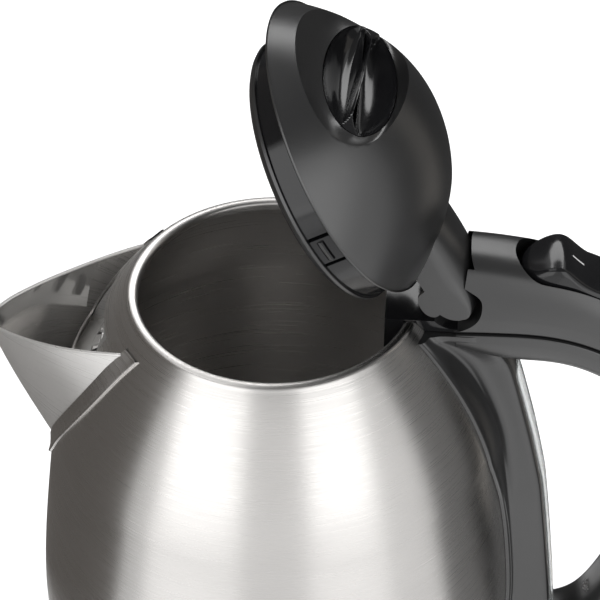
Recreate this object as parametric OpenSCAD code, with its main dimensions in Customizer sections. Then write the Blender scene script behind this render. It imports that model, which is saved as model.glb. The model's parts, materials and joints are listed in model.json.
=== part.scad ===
// Cordless electric kettle: brushed steel jug on a separate power base.
// Millimetres, +Z up. The origin is on the jug's axis at the table; the spout points to -X and
// the handle to +X, and the whole kettle is symmetric about Y = 0. The lid is drawn open.

/* [Jug shell] */
// Height of the rim above the table
rim_z = 205; // [190:1:225]
// Radius of the mouth at the rim
mouth_r = 43.4; // [42.5:0.1:45]
// Width of the rolled rim around the mouth
rim_band = 3.7; // [3:0.1:5]
// Depth of the rolled rim
rim_depth = 3.2; // [2.5:0.1:4]
// Radius where the shoulder turns into the flank
shoulder_r = 73; // [71:0.5:75]
// Depth below the rim where the shoulder turns into the flank
shoulder_drop = 51; // [47:1:55]
// Largest radius of the jug
belly_r = 81.3; // [80:0.1:83]
// Depth of the largest radius below the rim
belly_drop = 128; // [120:1:135]
// Radius of the steel at its lower edge
foot_r = 79; // [78:0.1:80]
// Height of the lower edge of the steel above the table
foot_z = 38; // [36:0.5:40]
// Sheet thickness of the jug
steel_t = 0.7; // [0.5:0.1:1]

/* [Spout] */
// Distance of the spout's tip from the jug's axis
spout_reach = 95; // [88:1:100]
// Depth of the tip below the rim
tip_drop = 12; // [8:1:16]
// Half width of the spout at its root
spout_half_w = 24.5; // [22:0.5:26]
// Depth of the spout's root below the rim
root_drop = 5.5; // [4:0.5:8]
// Depth below the rim where the fold meets the jug
keel_drop = 69; // [60:1:75]
// Width of the flange that is welded to the jug
flange_w = 6; // [4:0.5:8]
// Hole diameter of the strainer
strainer_hole_d = 4; // [3:0.25:4.5]
// Pitch of the strainer's holes
strainer_pitch = 8.4; // [7.5:0.1:9.5]

/* [Handle] */
// Half width of the handle at its seam
handle_half_w = 14.5; // [13:0.5:16]
// Distance of the grip's seam from the jug's axis
grip_x = 136; // [130:1:142]
// Half width of the crest that carries the water gauge
crest_half_w = 8; // [7.5:0.25:9.5]
// Joint line between the handle's two shells
seam_gap = 0.3; // [0.2:0.05:0.5]

/* [Lid] */
// Opening angle at which the lid is drawn
lid_open = 60; // [45:1:70]
// Distance of the hinge pin from the jug's axis
hinge_x = 57.5; // [56.5:0.25:58.5]
// Height of the hinge pin above the rim
hinge_up = 6; // [5.5:0.25:6.5]
// Radius of the domed cover
dome_r = 46.3; // [45:0.1:48]
// Distance of the dome's centre in front of the jug's axis
dome_ahead = 4.9; // [4.5:0.1:6]
// Height of the dome
dome_h = 29.5; // [28:0.5:34]
// Wall thickness of the lid's mouldings
lid_wall = 2.2; // [1.8:0.1:3]
// Radius of the plug wall that enters the mouth
plug_r = 40.8; // [40:0.1:41]
// Radius of the plate that closes the plug
plate_r = 41.6; // [41.2:0.1:41.8]
// Depth of the plug wall below the rim
plug_depth = 8.7; // [7.5:0.1:9.5]
// Thickness of the plate
plate_t = 3.2; // [2.6:0.1:3.4]
// Radius of the hinge pin
pin_r = 1.5; // [1.25:0.05:1.75]

/* [Switch] */
// Distance of the switch's pivot from the jug's axis
switch_x = 93; // [92:0.5:95]
// Half length of the switch's well in the handle
well_half_l = 22; // [20:0.5:23]
// Half width of the switch's well
well_half_w = 10.5; // [9.5:0.25:11]
// Radius of the switch's pivot pin
switch_pin_r = 1.2; // [1:0.1:1.5]

/* [Power base] */
// Radius of the power base
base_r = 81; // [78:0.5:86]
// Height of the power base's deck above the table
deck_z = 20; // [19:0.25:21]
// Wall thickness of the plastic mouldings
moulding_t = 2.5; // [2:0.1:3]
// Radius of the rubber feet
pad_r = 7; // [6:0.5:8]
// How far the rubber feet stand out below the base
pad_out = 1; // [0.75:0.05:1.25]
// Radius of the contact post
post_r = 10.6; // [10:0.1:11]
// Inner radius of the cord bush
cord_bore_r = 3.2; // [2.8:0.1:3.4]

/* [Fits] */
// Gap under the jug where it rests on its base
rest_gap = 0.3; // [0.2:0.05:0.5]
// Running clearance round a pin
pin_play = 0.05; // [0.03:0.01:0.1]
// Clearance between neighbouring mouldings
fit = 0.15; // [0.1:0.05:0.25]

/* [Hidden] */
$fn = 96;

rim_out_r = mouth_r + rim_band;
hinge_z = rim_z + hinge_up;

// ---------- curves ----------
function mix(a, b, t) = a + (b - a) * t;
function bezier(p, t) = pow(1 - t, 3) * p[0] + 3 * t * pow(1 - t, 2) * p[1]
    + 3 * t * t * (1 - t) * p[2] + pow(t, 3) * p[3];
function bezier_run(p, n) = [for (i = [0:n - 1]) bezier(p, i / n)];
function unit(v) = v / norm(v);
// Smooth curve through a list of stations, u from 0 to len - 1
function station(list, i) = list[max(0, min(len(list) - 1, i))];
function through(list, u) =
    let (i = min(floor(u), len(list) - 2), t = u - i,
         a = station(list, i - 1), b = list[i], c = list[i + 1], d = station(list, i + 2))
    0.5 * (2 * b + (c - a) * t + (2 * a - 5 * b + 4 * c - d) * t * t
        + (3 * b - a - 3 * c + d) * t * t * t);
// Side faces and end caps of a solid made of equal closed rings
function ring_faces(rings, n) = concat(
    [[for (j = [0:n - 1]) j]],
    [for (i = [0:rings - 2], j = [0:n - 1], k = [0:1])
        let (a = i * n + j, b = i * n + (j + 1) % n)
        k == 0 ? [a, a + n, b] : [b, a + n, b + n]],
    [[for (j = [n - 1:-1:0]) (rings - 1) * n + j]]);
module skin(rings) {
    points = [for (ring = rings) for (p = ring) p];
    polyhedron(points, ring_faces(len(rings), len(rings[0])), convexity = 6);
}

// ---------- jug profile: [radius, height] from the rim down ----------
wall_run = concat(
    bezier_run([[rim_out_r, rim_z - 1], [58.5, rim_z - 13.5],
                [69.5, rim_z - 33], [shoulder_r, rim_z - shoulder_drop]], 9),
    bezier_run([[shoulder_r, rim_z - shoulder_drop], [shoulder_r + 2, rim_z - 67],
                [belly_r, rim_z - 108], [belly_r, rim_z - belly_drop]], 7),
    bezier_run([[belly_r, rim_z - belly_drop], [belly_r, rim_z - belly_drop - 14],
                [foot_r + 1, foot_z + 12], [foot_r, foot_z]], 4),
    [[foot_r, foot_z]]);
wall_by_height = [for (i = [len(wall_run) - 1:-1:0]) [wall_run[i][1], wall_run[i][0]]];
function jug_r(z) = lookup(z, wall_by_height);
function jug_in_r(z) = jug_r(z) - steel_t * 1.25;
function inset(list, d) = [for (i = [0:len(list) - 1])
    let (a = station(list, i - 1), b = station(list, i + 1), v = unit(b - a))
    list[i] + d * [v[1], -v[0]]];

inner_run = inset(wall_run, steel_t);
shell_outline = concat(
    [[mouth_r, rim_z - rim_depth], [mouth_r, rim_z - 0.6], [mouth_r + 0.6, rim_z],
     [rim_out_r - 1.4, rim_z], [rim_out_r - 0.4, rim_z - 0.35]],
    wall_run,
    [for (i = [len(inner_run) - 1:-1:0])
        if (inner_run[i][1] < rim_z - rim_depth - 0.6) inner_run[i]]);
// Solid of revolution that fills the jug's outside, grown by a gap
module jug_solid(gap) {
    grown = inset(wall_run, -gap);
    rotate_extrude() polygon(concat([[0, grown[0][1]]], grown, [[0, foot_z]]));
}
// A sector of a solid of revolution, centred on the spout or on the handle
module sector(middle, half_angle) {
    rotate([0, 0, middle - half_angle]) rotate_extrude(angle = 2 * half_angle) children();
}

// ---------- spout ----------
sheet_t = 1;
keel_top = [-spout_reach - 1.5, rim_z - tip_drop + 2];
keel_foot = [-jug_r(rim_z - keel_drop), rim_z - keel_drop];
root_top = rim_z - root_drop;
function spout_t(z) = (z - keel_foot[1]) / (root_top - keel_foot[1]);
function keel_x(z) = mix(keel_foot[0], keel_top[0], (z - keel_foot[1]) / (keel_top[1] - keel_foot[1]));
function root_half(z) = spout_half_w * pow(sin(90 * min(1, max(0, spout_t(z)) * 1.18)), 0.8);
// One level of the spout: a rounded V from the jug's side to the keel and back
function spout_half(z, grow) =
    let (h = max(root_half(z), 0.4), r = jug_r(z),
         root = [-sqrt(r * r - h * h) + 6, h + 2.2], tip = [keel_x(z), 0],
         crease = [tip[0] + 0.8, mix(2, 7.5, max(0, spout_t(z)))],
         bulge = root + 0.45 * (crease - root) + [0, 1.4],
         run = [for (i = [0:8]) bezier([root, bulge, crease, tip], i / 8)])
    [for (i = [0:8]) let (a = station(run, i - 1), b = station(run, i + 1), v = unit(b - a))
        i < 8 ? run[i] + grow * [v[1], -v[0]] : [run[8][0] - grow, 0]];
function spout_level(z, grow) =
    let (half = spout_half(z, grow))
    [for (i = [0:16]) let (p = i < 9 ? half[i] : half[16 - i], side = i < 9 ? 1 : -1)
        [p[0], side * max(p[1], i == 8 ? 0 : 0.05), z]];
spout_levels = [for (i = [0:12]) mix(keel_foot[1] - 1, rim_z + 1, i / 12)];
module spout_form(grow) { skin([for (z = spout_levels) spout_level(z, grow)]); }
// Space above the spout's slanting top edge
module above_spout() {
    drop = tip_drop + 6.5 - root_drop;
    translate([-spout_reach, 0, rim_z - root_drop - drop - 2.2])
        rotate([0, -atan(drop / (spout_reach - rim_out_r)), 0])
        translate([-spout_reach * 0.2, -2 * spout_half_w, 0]) cube([spout_reach, 4 * spout_half_w, keel_drop]);
}
module spout() {
    color("#b9bcc0") {
        difference() {
            spout_form(0);
            spout_form(-sheet_t);
            above_spout();
            jug_solid(0.05);
        }
        difference() {
            intersection() {
                jug_solid(0.75);
                spout_form(flange_w);
            }
            spout_form(-sheet_t);
            jug_solid(0.05);
            translate([0, 0, root_top + 1]) cylinder(r = spout_reach, h = 10);
            translate([rim_out_r * -0.8, -2 * spout_half_w, rim_z - keel_drop])
                cube([belly_r, 4 * spout_half_w, keel_drop + 10]);
        }
    }
}

// ---------- strainer behind the spout ----------
strainer_half_angle = 18.5;
strainer_top = rim_z - 9;
strainer_foot = rim_z - 34;
strainer_lean = 15;
strainer_r = jug_in_r(strainer_top) - fit - sheet_t;
function strainer_at(z) = strainer_r + (strainer_top - z) * tan(strainer_lean);
module strainer_section() {
    lip = strainer_top + 3;
    shelf = strainer_foot - 5;
    foot_r2 = strainer_at(strainer_foot);
    polygon([[jug_in_r(lip) - fit - sheet_t, lip], [jug_in_r(lip) - fit, lip],
        [strainer_r + sheet_t, strainer_top], [foot_r2 + sheet_t, strainer_foot + 0.8],
        [jug_in_r(shelf + 1) - fit, shelf + 1], [jug_in_r(shelf) - fit, shelf],
        [foot_r2, strainer_foot], [strainer_r, strainer_top]]);
}
module strainer_cheek() {
    high = strainer_top - 2.5;
    polygon(concat([[strainer_at(high), high]],
        [for (i = [0:4]) let (z = mix(high - 0.5, strainer_foot - 4.5, i / 4)) [jug_in_r(z) - fit, z]],
        [[strainer_at(strainer_foot), strainer_foot]]));
}
module strainer() {
    rows = floor((strainer_top - strainer_foot - 3) / (strainer_pitch * 0.8));
    color("#8f9296") difference() {
        union() {
            sector(180, strainer_half_angle + 2) strainer_section();
            for (side = [-1, 1])
                sector(180 + side * (strainer_half_angle + 1.4), 0.6) strainer_cheek();
        }
        for (row = [0:rows]) {
            z = strainer_top - 3.4 - row * strainer_pitch * 0.8;
            step = strainer_pitch / strainer_at(z) * 180 / PI;
            count = floor((strainer_half_angle - 2) / step - (row % 2) / 2);
            for (k = [-count:count + row % 2])
                rotate([0, 0, 180 + (k - (row % 2) / 2) * step])
                    translate([strainer_at(z), 0, z]) rotate([0, 90 + strainer_lean, 0])
                    cylinder(d = strainer_hole_d, h = 8, center = true, $fn = 24);
        }
    }
}

// ---------- jug shell ----------
module body_shell() {
    color("#c3c6ca") difference() {
        rotate_extrude() polygon(shell_outline);
        // window behind the spout
        sector(180, strainer_half_angle) translate([mouth_r - 3, strainer_foot + 1])
            square([belly_r - mouth_r + 10, strainer_top - strainer_foot - 2]);
        // ports of the water gauge
        for (z = gauge_ports) translate([jug_r(z) - 8, 0, z]) rotate([0, 90, 0]) cylinder(r = port_r, h = 16);
    }
}
floor_z = foot_z + 7;
floor_t = 0.8;
module vessel_floor() {
    r = min([for (rise = [0, 3, 6]) jug_in_r(floor_z + rise)]) - fit;
    color("#aeb1b5") rotate_extrude() polygon([[0, floor_z], [r - 1, floor_z],
        [r, floor_z + 1], [r, floor_z + 6], [r - floor_t, floor_z + 6],
        [r - floor_t, floor_z + 1.6], [r - 1.6, floor_z + floor_t], [0, floor_z + floor_t]]);
}
spreader_t = 2.8;
spreader_r = 60;
module heat_spreader() {
    color("#b8babd") translate([0, 0, floor_z - spreader_t]) cylinder(r = spreader_r, h = spreader_t);
}
element_r = 48;
element_d = 6.6;
module heating_element() {
    z = floor_z - spreader_t - element_d / 2;
    color("#8a8480") {
        rotate([0, 0, 30]) rotate_extrude(angle = 300) translate([element_r, z]) circle(d = element_d);
        for (side = [-1, 1]) rotate([0, 0, side * 35]) translate([element_r, 0, z - 8])
            cylinder(r = 1.6, h = 8);
    }
}

// ---------- control unit and socket under the jug ----------
socket_bore = post_r + 0.8;
socket_out = socket_bore + 7.5;
base_under = deck_z + rest_gap;
control_top = floor_z - spreader_t - 0.8;
control_foot = base_under + 10;
module control_unit() {
    color("#d8d4c8") difference() {
        union() {
            translate([0, 0, control_foot]) cylinder(r = 21, h = control_top - control_foot - 3);
            for (side = [-1, 1]) translate([0, side * 13, control_foot])
                cylinder(r = 7.4, h = control_top - control_foot);
            translate([-8, -30, control_foot]) cube([16, 60, 6]);
        }
        for (side = [-1, 1]) translate([0, side * 13, control_top - 1.2]) cylinder(r = 6, h = 3);
        translate([0, 0, control_foot - 1]) cylinder(r = socket_bore, h = 5.5);
    }
}
module safety_discs() {
    color("#b08d57") for (side = [-1, 1]) translate([0, side * 13, control_top - 1.2])
        cylinder(r = 5.85, h = 0.6);
}
module jug_socket() {
    color("#1b1b1c") difference() {
        union() {
            translate([0, 0, base_under + 0.6]) cylinder(r = socket_out, h = control_foot - base_under - 0.6);
            translate([0, 0, base_under + 3]) cylinder(r = socket_out + 3, h = 2);
        }
        translate([0, 0, base_under - 1]) cylinder(r = socket_bore, h = 30);
        translate([0, 0, base_under + 0.5]) cylinder(r1 = socket_bore + 1.2, r2 = socket_bore, h = 2);
    }
}
jug_base_r = foot_r + 0.6;
collar_r = foot_r - steel_t * 1.5;
base_boss_r = 64;
module jug_base() {
    color("#232324") difference() {
        rotate_extrude() polygon([[socket_out + 0.3, base_under], [56, base_under],
            [58, base_under + 1], [66, base_under + 1], [68, base_under], [jug_base_r - 3, base_under],
            [jug_base_r - 0.9, base_under + 0.9], [jug_base_r, base_under + 3], [jug_base_r, foot_z - 0.2],
            [collar_r, foot_z - 0.2], [collar_r, foot_z + 5.5], [collar_r - moulding_t, foot_z + 5.5],
            [collar_r - moulding_t, base_under + moulding_t],
            [socket_out + 3, base_under + moulding_t], [socket_out + 0.3, base_under + moulding_t]]);
        for (k = [0:2]) rotate([0, 0, 60 + 120 * k]) translate([base_boss_r - 2, 0, base_under - 1])
            cylinder(r = 1.7, h = 6);
    }
}
module base_seal() {
    color("#3a3a3a") rotate_extrude() translate([collar_r - moulding_t + 0.3, foot_z + 5.6])
        square([moulding_t - 0.6, floor_z - foot_z - 5.7]);
}
module jug_base_screws() {
    color("#9a9a9a") for (k = [0:2]) rotate([0, 0, 60 + 120 * k])
        translate([base_boss_r - 2, 0, base_under + 0.2]) union() {
            cylinder(r = 3, h = 0.8);
            cylinder(r = 1.5, h = floor_z - spreader_t - base_under - 1);
        }
}

// ---------- handle ----------
// Stations along the handle as [distance from the jug's axis, depth below the rim]
seam_path = [[57, -3.6], [72, -2.9], [88, -3.6], [104, -8.5], [grip_x - 17, -20], [grip_x - 6, -42],
             [grip_x - 4, -70], [grip_x - 7, -100], [grip_x - 16, -127], [106, -147], [91.5, -153]];
outer_path = [[57, 22.2], [71, 20.9], [88, 18.1], [105, 12.2], [grip_x - 11, -4], [grip_x + 3, -30],
              [grip_x + 7, -66], [grip_x + 2, -101], [grip_x - 9, -132], [108.5, -158.5], [91.5, -166]];
inner_path = [[57, -12], [73, -17], [88, -17.9], [101, -21.5], [grip_x - 24, -31], [grip_x - 17, -50],
              [grip_x - 15, -73], [grip_x - 17, -102], [grip_x - 24.5, -126], [103.5, -139.5], [91.5, -143.5]];
half_w_path = [[14.3, 0], [14.5, 0], [14.5, 0], [14.5, 0], [14.2, 0], [13.8, 0],
               [13.4, 0], [13, 0], [12.4, 0], [11.6, 0], [11, 0]];
handle_steps = 32;
lip_h = 1.1;
lip_in = 0.8;
// Closed ring of one shell: side 1 is the outer shell, side -1 the inner one
function shell_ring(u, side) =
    let (s = through(seam_path, u), o = through(side > 0 ? outer_path : inner_path, u),
         w = through(half_w_path, u)[0], h = norm(o - s), d = unit(o - s),
         gap = side > 0 ? 0 : seam_gap,
         half = concat(
            [[w - lip_in, gap], [w - lip_in, gap + lip_h], [w, gap + lip_h + 0.5]],
            [for (a = [14:9.5:90]) [w * pow(cos(a), 0.5), max(gap + lip_h + 0.6, h * pow(sin(a), 0.64))]]),
         all = concat(half, [for (i = [len(half) - 2:-1:0]) [-half[i][0], half[i][1]]]))
    [for (q = all) [s[0] + d[0] * q[1], q[0] * side, rim_z + s[1] + d[1] * q[1]]];
module handle_shell(side, first, last) {
    skin([for (i = [0:handle_steps]) shell_ring(mix(first, last, i / handle_steps), side)]);
}
// The inner shell has a convex section all the way, so it is a chain of short hulls
module inner_shell(first, last) {
    for (i = [0:handle_steps - 1])
        hull() skin([for (k = [i, i + 1]) shell_ring(mix(first, last, k / handle_steps), -1)]);
}
// Spine down the back of the jug: crest and skirt by depth below the rim
crest_path = [[-4, 66], [-10, 68.5], [-17, 75.6], [-30.5, 79.8], [-51.6, 85.4], [-73.6, 90.3],
              [-96.6, 93.3], [-123.7, 96.4], [-140, 98], [-166, 98]];
skirt_path = [[-4, 18.6], [-13, 20], [-26, 20.8], [-38, 21.2], [-52, 20.5], [-62, 17],
              [-77, 12.2], [-92, 10.2], [-166, 10.2]];
function by_depth(path, depth) = lookup(depth, [for (i = [len(path) - 1:-1:0]) path[i]]);
function crest_x(z) = (by_depth(crest_path, z - rim_z - 5) + by_depth(crest_path, z - rim_z)
    + by_depth(crest_path, z - rim_z + 5)) / 3;
function skirt_half(z) = (by_depth(skirt_path, z - rim_z - 5) + by_depth(skirt_path, z - rim_z)
    + by_depth(skirt_path, z - rim_z + 5)) / 3;
spine_gap = 0.3;
function spine_ring(z) =
    let (r = jug_r(z) + spine_gap, c = crest_x(z), s = skirt_half(z),
         flat = mix(crest_half_w, 13.7, pow(min(1, max(0, (z - rim_z + 24) / 18)), 2)), w = flat + 0.6,
         back = [for (i = [0:6]) let (y = s * (1 - i / 6)) [sqrt(r * r - y * y), y]],
         rise = c - back[6][0], edge = sqrt(r * r - s * s),
         vale_y = mix(w, s, 0.3), vale_x = sqrt(r * r - vale_y * vale_y),
         front = [[c, 0], [c - 0.25, flat * 0.45], [c - 1.3, flat * 0.85],
            [c - 2.6, w], [vale_x + rise * 0.42, w + 0.25], [vale_x + rise * 0.24, mix(w, vale_y, 0.6)],
            [vale_x + 2.3, max(vale_y, w + 0.4)], [mix(vale_x, edge, 0.6) + 1.9, mix(vale_y, s, 0.6)],
            [edge + 1.5, s - 0.5], [edge + 0.9, s]],
         half = concat([for (i = [6:-1:1]) back[6 - i]], [back[6]]))
    concat([for (p = front) [p[0], p[1], z]],
        [for (i = [0:5]) [back[i][0], back[i][1], z]], [[back[6][0], 0, z]],
        [for (i = [5:-1:0]) [back[i][0], -back[i][1], z]],
        [for (i = [len(front) - 1:-1:1]) [front[i][0], -front[i][1], z]]);
spine_foot = foot_z + 1.5;
spine_levels = [for (i = [0:28]) mix(spine_foot, rim_z - 4, 1 - pow(1 - i / 28, 1.35))];
module spine() { skin([for (z = spine_levels) spine_ring(z)]); }

// Water gauge: strip let into the crest
gauge_top = rim_z - 24;
gauge_foot = rim_z - 140;
gauge_half_w = 6;
gauge_ports = [gauge_foot + 12, gauge_top - 28];
port_r = 2.5;
function gauge_ring(z, w, out, depth) =
    let (c = crest_x(z))
    [[c + out, 0, z], [c + out - 0.25, w * 0.5, z], [c + out - 1, w * 0.85, z], [c + out - 1.7, w, z],
     [c - depth, w, z], [c - depth, -w, z], [c + out - 1.7, -w, z], [c + out - 1, -w * 0.85, z],
     [c + out - 0.25, -w * 0.5, z]];
// Half width of the strip, rounded off at both ends
function gauge_w(z, w) =
    let (e = min(z - gauge_foot, gauge_top - z)) w * (e >= w ? 1 : sqrt(max(0.04, 1 - pow(1 - e / w, 2))));
gauge_levels = concat([for (i = [0:4]) gauge_foot + gauge_half_w * i / 5],
    [for (i = [0:18]) mix(gauge_foot + gauge_half_w, gauge_top - gauge_half_w, i / 18)],
    [for (i = [1:5]) gauge_top - gauge_half_w * (1 - i / 5)]);
module gauge_form(grow, out, depth) {
    skin([for (z = gauge_levels) gauge_ring(z + grow * (z - mix(gauge_foot, gauge_top, 0.5))
        / (gauge_top - gauge_foot) * 2, gauge_w(z, gauge_half_w) + grow, out, depth)]);
}
gauge_depth = 4.4;
module gauge_window() {
    color("#8d9499") gauge_form(0, 0.5, gauge_depth);
}
module gauge_seal() {
    color("#2c2c2c") difference() {
        skin([for (z = gauge_levels) let (c = crest_x(z) - gauge_depth - 0.05, w = gauge_w(z, gauge_half_w))
            [[c, -w, z], [c, w, z], [c - 1.2, w, z], [c - 1.2, -w, z]]]);
        for (z = gauge_ports) translate([jug_r(z), 0, z]) rotate([0, 90, 0]) cylinder(r = port_r - 0.5, h = 30);
    }
}
module handle_lower() {
    color("#202021") difference() {
        union() {
            inner_shell(0.32, len(seam_path) - 1);
            spine();
        }
        gauge_form(0.2, 6, gauge_depth + 1.4);
        for (z = gauge_ports) translate([jug_r(z) - 8, 0, z]) rotate([0, 90, 0]) cylinder(r = port_r, h = 24);
        // cavity for the steam switch and the trip lever
        translate([64, -8, rim_z - 13]) cube([46, 16, 30]);
        for (p = handle_screw_at) handle_screw_bore(p);
    }
}
// Screws that hold the two shells together, from the inside of the grip
handle_screw_at = [3.6, 8.4];
function handle_dir(u) = unit(through(outer_path, u) - through(seam_path, u));
module handle_screw_place(u) {
    s = through(seam_path, u);
    d = handle_dir(u);
    translate([s[0], 0, rim_z + s[1]]) rotate([0, 90 - atan2(d[1], d[0]), 0]) children();
}
module handle_screw_bore(u) {
    handle_screw_place(u) {
        translate([0, 0, -40]) cylinder(r = 3.3, h = 34);
        translate([0, 0, -7]) cylinder(r = 1.6, h = 8);
    }
}
module handle_screws() {
    color("#8c8c8c") for (u = handle_screw_at) handle_screw_place(u) {
        translate([0, 0, -8]) cylinder(r = 3, h = 2);
        translate([0, 0, -6.5]) cylinder(r = 1.45, h = 13);
    }
}
module handle_upper() {
    color("#4a4a4c") difference() {
        handle_shell(1, 0, len(seam_path) - 1.52);
        arm_pocket();
        switch_well();
        translate([64, -7.8, rim_z - 5]) cube([20, 15.6, 17.5]);
        for (u = handle_screw_at) handle_screw_place(u) translate([0, 0, -1]) cylinder(r = 1.5, h = 8);
    }
}
// Pocket in the handle's front that the lid's arm swings into
module arm_pocket() {
    x = hinge_x;
    z = hinge_z;
    below = [[x - 12, z - 15], [x + 1.6, z - 10.4], [x + 1.8, z - 8.2], [x + 2.7, z - 5.5], [x + 4.6, z - 1]];
    along_y(2 * arm_half_w + 0.9) polygon(concat(below,
        [[x + 7, z + 5], [x + 7.3, z + 9], [x + 6.2, z + 14], [x + 5.6, z + 25], [x - 12, z + 25]]));
    // full width under the cheeks
    along_y(40) polygon(concat(below, [[x + 5.6, z + 1.5], [x + 5, z + 3], [x + 2.4, z + 3.6], [x - 12, z + 3.6]]));
}

// ---------- switch on the handle ----------
switch_z = rim_z + 6.6;
switch_tilt = 14;
rocker_half_l = 17.6;
rocker_half_w = well_half_w - 0.6;
module at_switch() { translate([switch_x, 0, switch_z]) rotate([0, switch_tilt, 0]) children(); }
module along_y(w) { translate([0, w / 2, 0]) rotate([90, 0, 0]) linear_extrude(w) children(); }
// Bar with straight sides and a full round at each end
module round_bar(half_l, half_w, z, h) {
    translate([0, 0, z]) {
        for (side = [-1, 1]) translate([side * (half_l - half_w), 0, 0]) cylinder(r = half_w, h = h);
        translate([half_w - half_l, -half_w, 0]) cube([2 * (half_l - half_w), 2 * half_w, h]);
    }
}
module switch_well() {
    at_switch() {
        intersection() {
            round_bar(well_half_l, well_half_w, -10, 40);
            along_y(3 * well_half_w) polygon([[-well_half_l - 1, 4], [-well_half_l - 1, 30],
                [well_half_l + 1, 30], [well_half_l + 1, 4], [rocker_half_l + 0.5, -0.5], [6, -3.6],
                [-6, -3.6], [-rocker_half_l - 0.5, -0.5]]);
        }
        along_y(16) polygon([[-13, -21.4], [19, -9.4], [19, 5], [-13, 5]]);
        rotate([90, 0, 0]) cylinder(r = switch_pin_r, h = 2 * well_half_w + 5, center = true);
    }
}
module rocker_outline() {
    hump = [for (i = [0:10]) let (u = mix(-rocker_half_l, rocker_half_l, i / 10))
        [u, 8.6 + 1.9 * exp(-pow((u + 6.5) / 5.5, 2)) - 1.3 * exp(-pow((u - 8) / 7, 2)) - 0.0025 * u * u]];
    polygon(concat([[-rocker_half_l, 3.2]], hump, [[rocker_half_l, 3.2], [12, 1.4], [4, -2.2], [-4, -2.2],
        [-12, 1.4]]));
}
module power_switch() {
    color("#161617") at_switch() difference() {
        union() {
            intersection() {
                along_y(3 * rocker_half_w) rocker_outline();
                round_bar(rocker_half_l, rocker_half_w, -4, 20);
            }
            along_y(4) polygon([[-9, 3], [-7, -7], [-4.5, -7], [-3, 3]]);
        }
        rotate([90, 0, 0]) cylinder(r = switch_pin_r + pin_play, h = 40, center = true);
    }
}
module switch_pin() {
    color("#b5b5b5") at_switch() rotate([90, 0, 0])
        cylinder(r = switch_pin_r, h = 2 * well_half_w + 4, center = true);
}
lever_x = 79;
lever_z = rim_z - 3;
module switch_lever() {
    color("#cfcabb") translate([lever_x, 0, lever_z]) difference() {
        union() {
            rotate([90, 0, 0]) cylinder(r = 2.6, h = 9, center = true);
            along_y(5) polygon([[-1.5, -1.5], [-3.4, -6], [-1.6, -6.4], [1.6, -2], [8, 1], [9, 2.4],
                [8, 3.5], [1.5, 1.8]]);
        }
        rotate([90, 0, 0]) cylinder(r = 1 + pin_play, h = 12, center = true);
    }
}
module steam_switch() {
    color("#ded9cc") translate([0, 0, rim_z]) {
        difference() {
            translate([66, -7.5, -10.5]) cube([7.5, 15, 18.5]);
            translate([65, 0, -1]) rotate([0, 90, 0]) cylinder(r = 6, h = 2.2);
        }
        for (side = [-1, 1]) translate([72, side * 6.6 - 0.9, -10.5]) cube([10, 1.8, 10.5]);
        translate([lever_x, 0, lever_z - rim_z]) rotate([90, 0, 0]) cylinder(r = 1, h = 15, center = true);
    }
}
module steam_disc() {
    color("#b08d57") translate([66.3, 0, rim_z - 1]) rotate([0, 90, 0]) cylinder(r = 5.8, h = 0.6);
}

// ---------- hinge ----------
knuckle_r = 3.6;
lug_in = 3.9;
lug_out = 8.1;
bracket_half_w = 12.6;
bracket_front = 35.5;
module hinge_bracket() {
    color("#19191a") difference() {
        union() {
            translate([bracket_front, -bracket_half_w, rim_z - 13])
                cube([hinge_x + 1 - bracket_front, 2 * bracket_half_w, 13.4]);
            for (side = [-1, 1]) translate([0, side * (lug_in + lug_out) / 2, 0])
                along_y(lug_out - lug_in) hull() {
                    translate([hinge_x, hinge_z]) circle(r = knuckle_r, $fn = 32);
                    translate([hinge_x - 7, rim_z - 6]) square([7.5, 3]);
                }
        }
        // swing of the lid's arm, beside and between the lugs
        for (y = [-lug_out - 10 - fit, -lug_in + fit, lug_out + fit])
            translate([hinge_x, y, hinge_z]) rotate([-90, 0, 0])
            cylinder(r = 8.6, h = y < -lug_out ? 10 : y < 0 ? 2 * lug_in - 2 * fit : 10);
        // seat over the rim and the shoulder
        rotate_extrude() polygon(concat([[mouth_r - 0.15, rim_z - rim_depth - 0.3], [mouth_r - 0.15, rim_z + 0.12],
            [rim_out_r, rim_z + 0.12]], inset([for (i = [0:9]) wall_run[i]], -0.12),
            [[60, rim_z - 30], [mouth_r - 0.9, rim_z - 30], [mouth_r - 0.9, rim_z - rim_depth - 0.3]]));
        // the handle's shells
        translate([hinge_x - 10.5, -20, rim_z - 20]) cube([30, 40, 16.3]);
        translate([hinge_x, 0, hinge_z]) rotate([90, 0, 0]) cylinder(r = pin_r, h = 60, center = true);
    }
}
module hinge_pin() {
    color("#c0c0c0") translate([hinge_x, 0, hinge_z]) rotate([90, 0, 0])
        cylinder(r = pin_r, h = 2 * bracket_half_w - 0.4, center = true);
}

// ---------- lid, modelled closed and turned open about the hinge pin ----------
module opened() {
    translate([hinge_x, 0, hinge_z]) rotate([0, lid_open, 0]) translate([-hinge_x, 0, -hinge_z]) children();
}
arm_half_w = 12.4;
arm_front = 30;
notch_half_w = bracket_half_w + 1.2;
lid_seat = rim_z + 0.4;
scoop_at = [-29.8, 16.4];
scoop_tilt = 38;
scoop_axes = [17.8, 33, 7.5];
grip_at = [-24.6, 14.8];
grip_tilt = 38;
grip_axes = [11.8, 25.5];
// Height of the dome over a share of its radius
function dome_rise(share, h) = h * pow(1 - pow(share, 2.2), 0.95);
function dome_reach(turn, r) = r - 0.5 * pow(max(0, (abs(turn) - 120) / 60), 1.4);
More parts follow.
